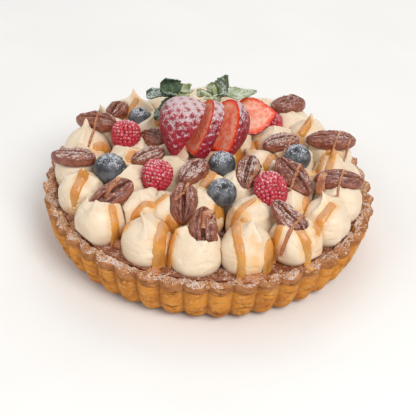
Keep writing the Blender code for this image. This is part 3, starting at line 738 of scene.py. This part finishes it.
leaves = {
    "thickness": 0.7, "long": 34, "wide": 12, "hub": 3.0, "hubPale": 0.8, "start": 2.0, "teeth": 0.07,
    "stalkSize": (1.6, 1.3, 4.2),
    "stalks": {"left": ((4, -1.5, 1.0), (6, 1, 2), (3, 2, 3.5)),
               "right": ((-4, -1.5, 0.5), (-6, 1, 2), (-1, 1, 4))},
    # name, hub, then direction, length, width, droop and paleness of each sepal
    "calyxes": (
        ("left", (-22.5, 37.0, 68.0), (
            ((-0.47, -0.15, 0.87), 13.0, 14.0, 0.05, 0.05), ((-0.96, 0.24, -0.10), 18.0, 14.0, 0.10, 0.0),
            ((-0.70, -0.35, 0.40), 12.0, 15.0, -0.10, 0.1), ((-0.62, -0.56, -0.55), 18.0, 10.0, 0.05, 0.15),
            ((0.55, 0.30, 0.45), 9.0, 9.0, 0.20, 0.9),
        )),
        ("right", (1.5, 31.0, 71.0), (
            ((0.50, 0.20, 0.84), 14.0, 15.0, -0.10, 0.25), ((0.90, 0.42, 0.02), 25.0, 12.0, 0.05, 0.75),
            ((-0.92, 0.30, 0.15), 11.0, 9.0, 0.15, 0.85), ((-0.30, 0.60, 0.50), 9.0, 9.0, 0.30, 0.6),
            ((0.40, 0.85, 0.10), 11.0, 8.0, 0.30, 0.5),
        )),
    ),
}


def addSepal(bm, hub, direction, length, width, droop, paleness, seed):
    sheet = bmesh.new()
    pale, vein = (sheet.verts.layers.float.new(name) for name in ("pale", "vein"))
    bmesh.ops.create_grid(sheet, x_segments=leaves["long"], y_segments=leaves["wide"], size=0.5)
    along = Vector(direction).normalized()
    side = along.cross(upwards)
    if side.length < 0.5:
        side = along.cross(Vector((0, -1, 0)))
    side.normalize()
    lift = side.cross(along)
    start = Vector(hub) + along * leaves["start"]
    for vert in sheet.verts:
        far = vert.co.x + 0.5
        wide = vert.co.y * 2
        half = width / 2 * (min(1.0, 0.22 + 2.2 * far) * (1 - far**3.4) ** 0.6 + 0.03 * far)
        uneven = 0.16 * ripple(far * 6, math.copysign(2, wide), seed)
        half *= 1 + uneven + leaves["teeth"] * math.sin(far * 38)
        wave = 1.1 * math.sin(far * 7.0 + wide * 1.2) + 1.4 * wide * wide
        wave += 0.6 * ripple(far * 4, wide * 2, seed)
        bend = -droop * length * far * far + wave
        vert.co = start + along * far * length + side * wide * half + lift * bend
        vert[pale] = min(1.0, max(0.0, paleness + 0.3 * ripple(far * 3, wide * 2, seed + 9)))
        vert[vein] = max(bell(wide, 0.10), 0.5 * bell(math.sin(far * 20 - abs(wide) * 5), 0.25)) * (1 - far)
    bmesh.ops.solidify(sheet, geom=list(sheet.faces), thickness=leaves["thickness"])
    bmesh.ops.recalc_face_normals(sheet, faces=sheet.faces)
    joinPart(bm, sheet)


def makeCalyx(name, hub, sepals, material):
    bm = bmesh.new()
    pale, _ = (bm.verts.layers.float.new(mark) for mark in ("pale", "vein"))
    middle = Matrix.Translation(Vector(hub))
    bmesh.ops.create_icosphere(bm, subdivisions=3, radius=leaves["hub"], matrix=middle)
    for vert in bm.verts:
        vert[pale] = leaves["hubPale"]
    for number, sepal in enumerate(sepals):
        addSepal(bm, hub, *sepal, seed=number * 7.3 + len(name))
    for number, direction in enumerate(leaves["stalks"][name]):      # torn ends of the stalk
        turned = Vector(direction).to_track_quat("Z", "Y").to_matrix().to_4x4()
        matrix = turned @ Matrix.Diagonal((*leaves["stalkSize"], 1))
        matrix = Matrix.Translation(Vector(hub) + Vector(direction)) @ matrix
        for vert in bmesh.ops.create_icosphere(bm, subdivisions=3, radius=1.0, matrix=matrix)["verts"]:
            vert[pale] = 1.0
            vert.co += Vector((0.5, 0.3, 0.5)) * lump(vert.co, 2, number)
    finishPiece(f"strawberryCalyx{name.title()}", bm, [material], [f"calyx_{name}"])


# Cream

cream = {
    "base": 28.3, "limit": 89.6, "bulge": 3.0, "bulgeHeight": 4.0, "height": 24.5, "width": 30.0, "gap": 0.05,
    "segments": 96, "rings": 60, "under": 0.1, "nearby": 36, "neighbours": 45,
    "unequal": 0.04, "leans": 2.0, "peakBend": 8, "peakFrom": 0.88, "finWidth": 0.30,
    "softLumps": 9, "foldWidth": 11, "foldHeight": 3.4, "crease": 0.9, "soft": 0.4,
    # share of the way up, share of the half width, share of the height
    "full": ((0.00, 0.00, 0.00), (0.06, 0.84, 0.00), (0.26, 1.00, 0.30), (0.50, 0.86, 0.60),
             (0.64, 0.64, 0.77), (0.75, 0.38, 0.87), (0.84, 0.20, 0.95), (0.93, 0.09, 1.06),
             (1.00, 0.00, 1.18)),
    "low": ((0.00, 0.00, 0.00), (0.06, 0.86, 0.00), (0.28, 1.00, 0.34), (0.55, 0.80, 0.68),
            (0.72, 0.56, 0.81), (0.85, 0.30, 0.89), (0.93, 0.11, 0.95), (1.00, 0.00, 1.00)),
    "hidden": ((0.00, 0.00, 0.00), (0.06, 0.90, 0.00), (0.30, 1.00, 0.40), (0.60, 0.66, 0.80),
               (0.80, 0.34, 0.92), (1.00, 0.00, 1.00)),
    "calm": (9, 10, 11, 12, 13),      # kisses behind the fruit, with no peak to be seen
    # kisses as azimuth in degrees and reach from the middle
    "outer": ((-94, 75), (-73, 75), (-51, 79), (-32, 79), (-15, 78), (3, 76), (20, 78), (34, 73), (49, 76),
              (64, 76), (80, 76), (96, 76), (113, 76), (131, 74.5), (150, 77), (166, 78), (182, 78),
              (200, 78), (221, 79), (245, 76)),
    "second": (((-61, 52), (-36, 57), (-11, 52)), ((14, 50), (40, 50), (66, 50)),
               ((89, 50), (112, 52), (134, 53)), ((158, 50), (181, 48), (205, 50)),
               ((229, 57), (246, 50), (264, 42))),
    "middle": ((8, 30), (60, 26), (112, 26), (160, 24), (205, 24), (255, 21), (310, 26), (0, 3)),
}


def kissSpots(places):
    return [around(math.radians(azimuth), reach, 0) for azimuth, reach in places]


def stayInCell(point, own, others):
    # keeps a point of one kiss on its own side of its neighbours and inside the rim
    flat = Vector((point.x, point.y, 0))
    for _ in range(2):
        for across, reach in others:
            over = (flat - own).dot(across) - reach
            if over > 0:
                flat -= across * over
    rise = min(max((point.z - cream["base"]) / cream["bulgeHeight"], 0), 1)
    limit = cream["limit"] + cream["bulge"] * rise
    if flat.length > limit:
        flat *= limit / flat.length
    return Vector((flat.x, flat.y, point.z))


def pressUnder(point, toppings):
    for tree, lowX, highX, lowY, highY in toppings:
        if lowX <= point.x <= highX and lowY <= point.y <= highY:
            hit = tree.ray_cast(Vector((point.x, point.y, 0)), upwards)[0]
            if hit is not None and point.z > hit.z - cream["under"]:
                point.z = hit.z - cream["under"]
    return point


def neighboursOf(spot, everyone, members):
    # the way to each neighbour and how far this kiss may reach towards it
    others = []
    for other in everyone:
        apart = other - spot
        if other not in members and 0 < apart.length < cream["neighbours"]:
            others.append((apart.normalized(), apart.length / 2 - cream["gap"] / 2))
    return others


def isNear(spot, topping):
    _, lowX, highX, lowY, highY = topping
    return max(abs(spot.x - (lowX + highX) / 2), abs(spot.y - (lowY + highY) / 2)) < cream["nearby"]


def addKiss(bm, spot, everyone, members, draw, profile, toppings, number):
    unequal, leans = cream["unequal"], cream["leans"]
    half = cream["width"] / 2 * draw.uniform(1 - unequal, 1 + unequal)
    height = cream["height"] * draw.uniform(0.95, 1.05)
    lean = Vector((draw.uniform(-leans, leans), draw.uniform(-leans, leans), 0))
    squash = draw.uniform(-unequal, unequal)
    others = neighboursOf(spot, everyone, members)
    near = [topping for topping in toppings if isNear(spot, topping)]
    rings = cream["rings"]
    table = [curveThrough(cream[profile], ring / rings) for ring in range(rings + 1)]
    pulled = 2 + number % 2
    fins = [number * 2.4 + step * math.tau / pulled for step in range(pulled)]
    bend = Vector((math.cos(number * 2.4), math.sin(number * 2.4) + 0.6, 0)) * cream["peakBend"]

    def shape(turn, ring):
        width, rise = table[ring]
        width = max(width, 0)
        if number in cream["calm"]:
            rise = min(rise, 0.85 + max(0, rise - 0.85) * 0.40)
        shoulder = bell(rise - 0.92, 0.15)      # fins of cream pulled up with the nozzle
        fin = max(bell(math.remainder(turn - way - rise * 0.8, math.tau), cream["finWidth"]) for way in fins)
        width *= 1 + shoulder * (0.75 * fin - 0.12)
        across = Vector((math.cos(turn) * (1 + squash), math.sin(turn) * (1 - squash), 0))
        point = spot + across * half * width + lean * rise**3 + bend * max(0, rise - cream["peakFrom"])
        point.z = cream["base"] + rise * height
        point = stayInCell(point, spot, others)
        if 0 < ring < rings:
            soft = lump(point, cream["softLumps"], number) * 1.5 * min(1, rise * 4)
            wide = cream["foldWidth"]
            fold = ripple(point.x / wide, point.y / wide, point.z / cream["foldHeight"] + number)
            folded = min(1, max(0, lump(point, cream["softLumps"], number + 4) * 5))
            crease = max(0.0, 1 - abs(fold) / 0.10) * folded
            point += across.normalized() * (soft * 0.45 - 0.05 - crease * cream["crease"])
            point.z += soft * 0.35
        return pressUnder(point, near)

    kiss = roundBody(cream["segments"], rings, shape)
    soften(kiss, kiss.verts, cream["soft"])
    joinPart(bm, kiss)


def markSeep(bm):
    # how near each point of the cream is to a band of drizzle, seen from above
    seep = bm.verts.layers.float.new("seep")
    points = np.array([vert.co[:2] for vert in bm.verts])
    best = np.full(len(points), 99.0)
    for width, _, path in drizzle["bands"]:
        for start, end in zip(path, path[1:]):
            start, end = np.array(start, float), np.array(end, float)
            share = np.clip((points - start) @ (end - start) / ((end - start) @ (end - start)), 0, 1)
            gap = np.linalg.norm(points - start - share[:, None] * (end - start), axis=1) - width / 2
            best = np.minimum(best, gap)
    for x, y, reach in drizzle["stains"]:
        best = np.minimum(best, (np.linalg.norm(points - (x, y), axis=1) / reach) ** 2 * drizzle["seepReach"])
    for vert, gap in zip(bm.verts, best):
        vert[seep] = float(min(1.0, max(0.0, 1 - gap / drizzle["seepReach"])))


def makeCream(toppings, material):
    draw = random.Random(20)
    outer, middle = kissSpots(cream["outer"]), kissSpots(cream["middle"])
    second = [kissSpots(group) for group in cream["second"]]
    groups = []      # piece, node, spots, profile, number of the first kiss
    for number, spot in enumerate(outer, 1):
        groups.append((f"creamKiss{number:02d}", f"cream_kiss_{number:02d}", [spot], "full", number))
    for number, spots in enumerate(second, 1):
        first = 20 + 3 * number
        groups.append((f"creamSecondRing{number}", f"cream_second_ring_{number}", spots, "low", first))
    groups.append(("creamMiddle", "cream_middle", middle, "hidden", 40))
    everyone = outer + sum(second, []) + middle
    for name, node, members, profile, first in groups:
        bm = bmesh.new()
        for number, spot in enumerate(members, first):
            addKiss(bm, spot, everyone, members, draw, profile, toppings, number)
        markSeep(bm)
        finishPiece(name, bm, [material], [node])


# Caramel drizzle

drizzle = {
    "step": 0.6, "seepReach": 2.6, "fall": 1.3, "sunk": 0.12, "underside": 0.45, "raised": 0.15,
    "poolSegments": 48, "poolRings": 30, "poolWaves": 0.22,
    # plan point and reach of each stain
    "stains": ((27.0, -84.0, 9.0), (-24.0, -66.0, 5.0), (-50.0, -60.0, 4.0), (8.0, -48.0, 5.0),
               (50.0, -66.0, 5.0)),
    # width, thickness, plan points
    "bands": (
        (6.0, 0.9, ((-70, -24), (-73, -32), (-75.5, -38), (-77, -41))),
        (5.5, 1.0, ((-53, -53), (-52, -58), (-50, -63), (-50, -69), (-50, -75))),
        (4.2, 0.9, ((-23, -46), (-31, -49.5), (-40, -56), (-43, -62), (-45, -69))),
        (6.5, 1.1, ((-15, -58), (-21, -60), (-23.5, -68), (-24.5, -78), (-26, -88))),
        (5.0, 0.9, ((-15.7, -64), (-17.5, -69), (-18.5, -76), (-19.5, -84))),
        (4.0, 0.8, ((-48, 57), (-51, 52), (-54, 46))),
        (4.5, 0.8, ((-30, 41), (-34, 37), (-34, 32))),
        (4.5, 0.8, ((-62, 16), (-66, 13), (-71, 9))),
        (5.0, 0.8, ((-44, 0), (-47, -5), (-49, -9))),
        (5.0, 1.1, ((20, -55), (16.5, -64), (16, -71), (17, -78), (19.5, -86), (21, -91.5))),
        (5.0, 1.0, ((43, -60), (40, -65), (37, -71), (34.5, -78), (33.5, -85))),
        (5.0, 0.9, ((49, -66), (53, -71), (57, -74), (59, -78))),
        (5.0, 0.9, ((71, -41), (66, -49), (62, -54), (60, -66))),
        (4.6, 0.8, ((58, -29), (56, -36), (54.5, -43))),
        (4.0, 0.8, ((27, -44), (21, -48), (17, -52), (13, -53))),
        (4.0, 0.8, ((10, -40), (7, -45), (4, -50))),
        (5.0, 0.8, ((4, -16), (-1, -26), (-5, -31))),
        (5.0, 0.8, ((60, 40), (56, 33), (54, 30))),
        (4.5, 0.8, ((76, 17), (71, 0), (69, -5))),
        (4.5, 0.8, ((67, 4), (60, -11))),
        (4.5, 0.8, ((27, 27), (26, 17), (25, 8))),
        (7.0, 1.0, ((17, 0), (17, 6), (17, 13))),
        (4.5, 0.8, ((39, 9), (36, 1), (32, -6))),
        (4.0, 0.8, ((73, 20), (70, 12), (66, 4))),
    ),
    # pools in the hollows: middle, half sizes, degrees turned
    "pools": (
        ((-48, -66, 29.0), (6.0, 3.6, 3.6), -40), ((27.5, -87, 29.0), (8.5, 4.5, 2.6), 17),
        ((-27, -86, 27.8), (6.0, 4.0, 2.6), -15),
        ((-74, -50, 28.8), (5.0, 4.0, 3.0), -55), ((-41, -56, 33.0), (5.0, 3.0, 3.0), 30),
        ((0, -62, 36), (5.0, 3.0, 3.0), 0),
    ),
    # threads over the pecans: width, thickness, plan points
    "strings": (
        (1.7, 0.7, ((-70.5, 36), (-71.2, 28), (-72.4, 17), (-73.7, 8))),
        (1.8, 0.7, ((50, 24), (48.3, 18.7), (45, 8.3), (42.5, 0.4))),
        (2.2, 0.8, ((54.5, -9), (52, -12.5), (48.9, -23), (45.7, -34))),
        (2.0, 0.7, ((79, 29), (77, 24), (74, 15.8), (72, 8))),
        (1.6, 0.6, ((84, 21), (82, 15.5), (80, 7.6), (79, 1))),
        (1.9, 0.7, ((78.5, -12), (77, -16), (74.6, -24.7), (73, -33))),
        (5.5, 0.7, ((66.3, -17), (64.4, -22.6), (63.5, -28))),
        (2.2, 0.8, ((54, -54), (50.5, -59), (45.3, -68.7), (40.8, -77))),
        (1.6, 0.6, ((30, -9), (26.5, -20), (22, -30))),
        (2.4, 0.8, ((-11, -38), (-14, -46), (-19, -52))),
        (6.0, 1.0, ((3, -60), (0, -66), (-3, -73))),
        (3.0, 0.8, ((-50, -36), (-54, -43), (-58, -48))),
    ),
}


def evenSteps(path, step):
    # points at even steps along a smooth curve through the plan points
    rows = [(index / (len(path) - 1), *point) for index, point in enumerate(path)]
    dense = [curveThrough(rows, share / 200) for share in range(201)]
    walked = np.concatenate([[0], np.cumsum(np.linalg.norm(np.diff(dense, axis=0), axis=1))])
    count = max(4, round(walked[-1] / step))
    targets = np.linspace(0, walked[-1], count + 1)
    return np.stack([np.interp(targets, walked, np.array(dense)[:, axis]) for axis in range(2)], axis=1)


def alongPath(vert, stations, number, width, swells, wave, least):
    # for a point of the grid: its station, the way across, half the width there and how near the end is
    last = len(stations) - 1
    station = round((vert.co.x + 0.5) * last)
    step = stations[min(station + 1, last)] - stations[max(station - 1, 0)]
    side = np.array((-step[1], step[0])) / max(np.linalg.norm(step), 1e-6)
    end = min(station, last - station) * drizzle["step"] / (width * 0.5)
    swell = 1 + swells * ripple(station * drizzle["step"] / wave, number * 3.1, 0)
    half = width / 2 * swell * math.sqrt(max(least, 1 - max(0.0, 1 - end) ** 2))
    return station, side, half, end


def makeBand(number, width, rise, path, ground, material):
    # a band that lies on the cream, in the hollows and over the shoulders
    stations = evenSteps(path, drizzle["step"])
    bm = bmesh.new()
    edge = bm.verts.layers.float.new("edge")
    bmesh.ops.create_grid(bm, x_segments=len(stations) - 1, y_segments=12 if width > 3 else 8, size=0.5)
    for vert in bm.verts:
        wide = vert.co.y * 2
        station, side, half, end = alongPath(vert, stations, number, width, 0.22, 7, 0.02)
        x, y = stations[station] + side * wide * half
        hit, normal = groundUnder(x, y, ground) or (Vector((x, y, cream["base"])), upwards)
        lift = rise * max(0.0, 1 - wide**2) ** 0.6 * min(1, 0.4 + end)
        vert.co = hit + normal * (lift - drizzle["sunk"])
        vert[edge] = abs(wide) ** 2
    inner = [vert for vert in bm.verts if not vert.is_boundary]
    for _ in range(2):
        soften(bm, inner, 0.35)
    under = bmesh.ops.extrude_face_region(bm, geom=list(bm.faces), use_keep_orig=True)["geom"]
    sunk = [vert for vert in under if isinstance(vert, bmesh.types.BMVert)]
    bmesh.ops.translate(bm, vec=(0, 0, -drizzle["underside"]), verts=sunk)
    bmesh.ops.recalc_face_normals(bm, faces=bm.faces)
    finishPiece(f"caramelBand{number:02d}", bm, [material])


def makePool(number, spot, sizes, turned, material):
    def shape(turn, ring):
        polar = math.pi * ring / drizzle["poolRings"]
        across = around(turn, math.sin(polar), -math.cos(polar))
        across *= 1 + drizzle["poolWaves"] * lump(across, 0.7, number * 4.1)
        return place @ Vector(part * size for part, size in zip(across, sizes))

    place = Matrix.Translation(Vector(spot)) @ Matrix.Rotation(math.radians(turned), 4, "Z")
    bm = roundBody(drizzle["poolSegments"], drizzle["poolRings"], shape)
    bm.verts.layers.float.new("edge")
    finishPiece(f"caramelPool{number:02d}", bm, [material])


def makeString(number, width, rise, path, material):
    # a thread laid over the nuts, that falls off them no steeper than poured caramel hangs
    stations = evenSteps(path, drizzle["step"])
    walked = np.arange(len(stations)) * drizzle["step"]
    heights = np.array([groundUnder(x, y)[0].z for x, y in stations])
    hung = np.array([np.max(heights - drizzle["fall"] * np.abs(walked - here)) for here in walked])
    hung = np.convolve(np.pad(hung, 2, "edge"), np.ones(5) / 5, "valid")
    bm = bmesh.new()
    bmesh.ops.create_grid(bm, x_segments=len(stations) - 1, y_segments=10, size=0.5)
    for vert in bm.verts:
        angle = (vert.co.y + 0.5) * math.tau
        station, side, half, _ = alongPath(vert, stations, number, width, 0.30, 5, 0.0)
        x, y = stations[station] + side * math.cos(angle) * half
        high = hung[station] + drizzle["raised"] + math.sin(angle) * min(half, rise / 2 + 0.2)
        vert.co = Vector((x, y, high))
    bmesh.ops.remove_doubles(bm, verts=bm.verts, dist=0.02)
    bmesh.ops.recalc_face_normals(bm, faces=bm.faces)
    finishPiece(f"caramelString{number:02d}", bm, [material])


# Sugar and crumbs

chips = {
    "rough": 0.35,
    # place of the middle and half sizes of the pale broken ends of nuts
    "spots": (((-66.5, -51.0, 41.5), (2.6, 1.6, 1.3)), ((-64.0, -53.0, 40.5), (1.5, 1.2, 1.0)),
              ((-2.5, -80.5, 39.0), (3.2, 2.0, 1.6)), ((0.8, -81.2, 39.5), (2.0, 1.5, 1.2)),
              ((-1.0, -79.0, 40.5), (1.6, 1.4, 1.2)), ((53.5, -66.0, 43.5), (2.2, 1.5, 1.3))),
}


def makeChips(material):
    draw = random.Random(77)
    bm = bmesh.new()
    for spot, sizes in chips["spots"]:
        turn = Matrix.Rotation(draw.uniform(0, math.tau), 3, "Z")
        for vert in bmesh.ops.create_icosphere(bm, subdivisions=3, radius=1.0)["verts"]:
            broken = vert.co * (1 + chips["rough"] * lump(vert.co, 0.45, draw.random() * 0.05 + spot[0]))
            vert.co = Vector(spot) + turn @ Vector(part * size for part, size in zip(broken, sizes))
    finishPiece("brokenNutChips", bm, [material])


scatter = {
    "grains": 2600, "grainSize": (0.16, 0.34), "grainReach": 99,
    "steepest": 0.25,      # least upward part of the normal where grains stay
    "crumbs": 260, "crumbSize": (0.4, 1.1), "crumbRough": 0.25,
    "rimReach": (90.5, 99.0), "rimHeights": (26, 33),
}


def makeGrains(material):
    draw = random.Random(900)
    bm = bmesh.new()
    for _ in range(scatter["grains"]):
        angle = draw.uniform(0, math.tau)
        spot = around(angle, scatter["grainReach"] * math.sqrt(draw.random()), 0)
        ground = groundUnder(spot.x, spot.y)
        size = draw.uniform(*scatter["grainSize"])
        if ground and ground[1].z > scatter["steepest"]:
            bmesh.ops.create_icosphere(bm, subdivisions=1, radius=size, matrix=Matrix.Translation(ground[0]))
    finishPiece("icingSugarGrains", bm, [material])


def makeCrumbs(material):
    draw = random.Random(901)
    low, high = scatter["rimHeights"]
    bm = bmesh.new()
    for _ in range(scatter["crumbs"]):
        angle = draw.uniform(0, math.tau)
        spot = around(angle, draw.uniform(*scatter["rimReach"]), 0)
        ground = groundUnder(spot.x, spot.y)
        size = draw.uniform(*scatter["crumbSize"])
        if ground and low < ground[0].z < high:
            place = Matrix.Translation(ground[0])
            made = bmesh.ops.create_icosphere(bm, subdivisions=2, radius=size, matrix=place)
            rough = scatter["crumbRough"] * size
            for vert in made["verts"]:
                vert.co += Vector([draw.uniform(-rough, rough) for _ in range(3)])
    finishPiece("pastryCrumbs", bm, [material], sharp=30)


# Making everything, in the order that each piece rests on the one before

creamFinish = whippedCream()
sauce = pouredCaramel("pouredCaramelBand", "E89A46", "D5853A", 0.22)
threadSauce = pouredCaramel("pouredCaramelThread", "B06C3C", "98542F", 0.12)
pecanFinish = roastedPecan()
makeCrust(bakedShortcrust())
makeFilling(setCaramel())
print("crust and filling made")

shellSurfaces = len(surfaces)
for number, half in enumerate(pecans["halves"], 1):
    makePecan(number, *half, pecanFinish)
berrySkin = blueberrySkin()
for number, berry in enumerate(blueberries["berries"], 1):
    makeBlueberry(number, *berry, berrySkin)
drupelets = raspberrySkin()
for number, berry in enumerate(raspberries["berries"], 1):
    makeRaspberry(number, *berry, drupelets)
# Strawberry seeds: hard, dry and red-brown
seedHusk = mottledFinish("seedHusk", 1.5, "9A5A34", "7A3C22", Roughness=0.45)
fruit = [strawberrySkin(), cutStrawberry(), seedHusk]
for piece in strawberries["slices"]:
    makeStrawberry(*piece, *fruit)
leafFinish = strawberryLeaf()
for name, hub, sepals in leaves["calyxes"]:
    makeCalyx(name, hub, sepals, leafFinish)
print("toppings made")

creamSurfaces = len(surfaces)
makeCream(surfaces[shellSurfaces:], creamFinish)
print("cream piped round the toppings")
beddings = surfaces[:shellSurfaces] + surfaces[creamSurfaces:]
for number, (width, rise, path) in enumerate(drizzle["bands"], 1):
    makeBand(number, width, rise, path, beddings, sauce)
for number, pool in enumerate(drizzle["pools"], 1):
    makePool(number, *pool, threadSauce)
for number, (width, rise, path) in enumerate(drizzle["strings"], 1):
    makeString(number, width, rise, path, threadSauce)
# Icing sugar grains that stand proud: white and dull
makeGrains(mottledFinish("sugarGrain", 3, "F3EFEC", "E4DEDA", Roughness=0.7))
crumbFinish = brokenCrumb()
makeCrumbs(crumbFinish)
makeChips(crumbFinish)
print("drizzle, sugar and crumbs laid")

# Floor, light and camera

studio = {
    "floor": 6.0, "world": 0.5, "aim": (0, 0, 0.03),
    # name, place in metres, size, power, colour
    "lights": (
        ("key", (0.55, -0.75, 1.10), 0.8, 12, (1.0, 0.98, 0.95)),
        ("fill", (-0.9, -0.5, 0.7), 1.2, 3, (0.96, 0.98, 1.0)),
        ("back", (0.1, 1.0, 0.9), 1.0, 4, (1.0, 1.0, 1.0)),
    ),
    # fitted to the ellipses of the rim: focal length and middle of the picture in pixels
    "pixels": 416, "focal": 1100.0, "middle": (206.859, 222.942), "sensor": 36,
    "distance": 0.6816, "elevation": 36.669, "roll": -3.243,
}


def makeFloor():
    bm = bmesh.new()
    bmesh.ops.create_grid(bm, x_segments=2, y_segments=2, size=studio["floor"] / 2)
    mesh = bpy.data.meshes.new("floor")
    bm.to_mesh(mesh)
    bm.free()
    # White paper, matt and even, so that the tart stands on clean ground
    paper = mottledFinish("paleFloor", 90, "F2F1EF", "EFEEEC", Roughness=0.9, Specular_IOR_Level=0.1)
    mesh.materials.append(paper)
    floor = bpy.data.objects.new("floor", mesh)
    bpy.context.scene.collection.objects.link(floor)


def addLight(name, place, size, power, colour):
    data = bpy.data.lights.new(name, "AREA")
    data.shape = "DISK"
    data.size = size
    data.energy = power
    data.color = colour
    light = bpy.data.objects.new(name, data)
    light.location = place
    light.rotation_euler = (Vector(studio["aim"]) - Vector(place)).to_track_quat("-Z", "Y").to_euler()
    bpy.context.scene.collection.objects.link(light)


def makeCamera():
    pixels = studio["pixels"]
    data = bpy.data.cameras.new("camera")
    data.sensor_width = studio["sensor"]
    data.lens = studio["sensor"] * studio["focal"] / pixels
    data.shift_x = -(studio["middle"][0] - pixels / 2) / pixels
    data.shift_y = (studio["middle"][1] - pixels / 2) / pixels
    data.clip_start = 0.01
    camera = bpy.data.objects.new("camera", data)
    elevation = math.radians(studio["elevation"])
    place = Vector((0, -math.cos(elevation), math.sin(elevation))) * studio["distance"]
    aim = (-place).to_track_quat("-Z", "Y").to_matrix().to_4x4()
    roll = Matrix.Rotation(math.radians(-studio["roll"]), 4, "Z")
    camera.matrix_world = Matrix.Translation(place) @ aim @ roll
    bpy.context.scene.collection.objects.link(camera)
    bpy.context.scene.camera = camera


makeFloor()
for light in studio["lights"]:
    addLight(*light)
makeCamera()
world = bpy.data.worlds.new("studioLight")
world.use_nodes = True
world.node_tree.nodes["Background"].inputs[0].default_value = (1.0, 1.0, 1.0, 1.0)
world.node_tree.nodes["Background"].inputs[1].default_value = studio["world"]
bpy.context.scene.world = world
bpy.context.scene.view_settings.view_transform = "Standard"
print("floor, lights and camera set")
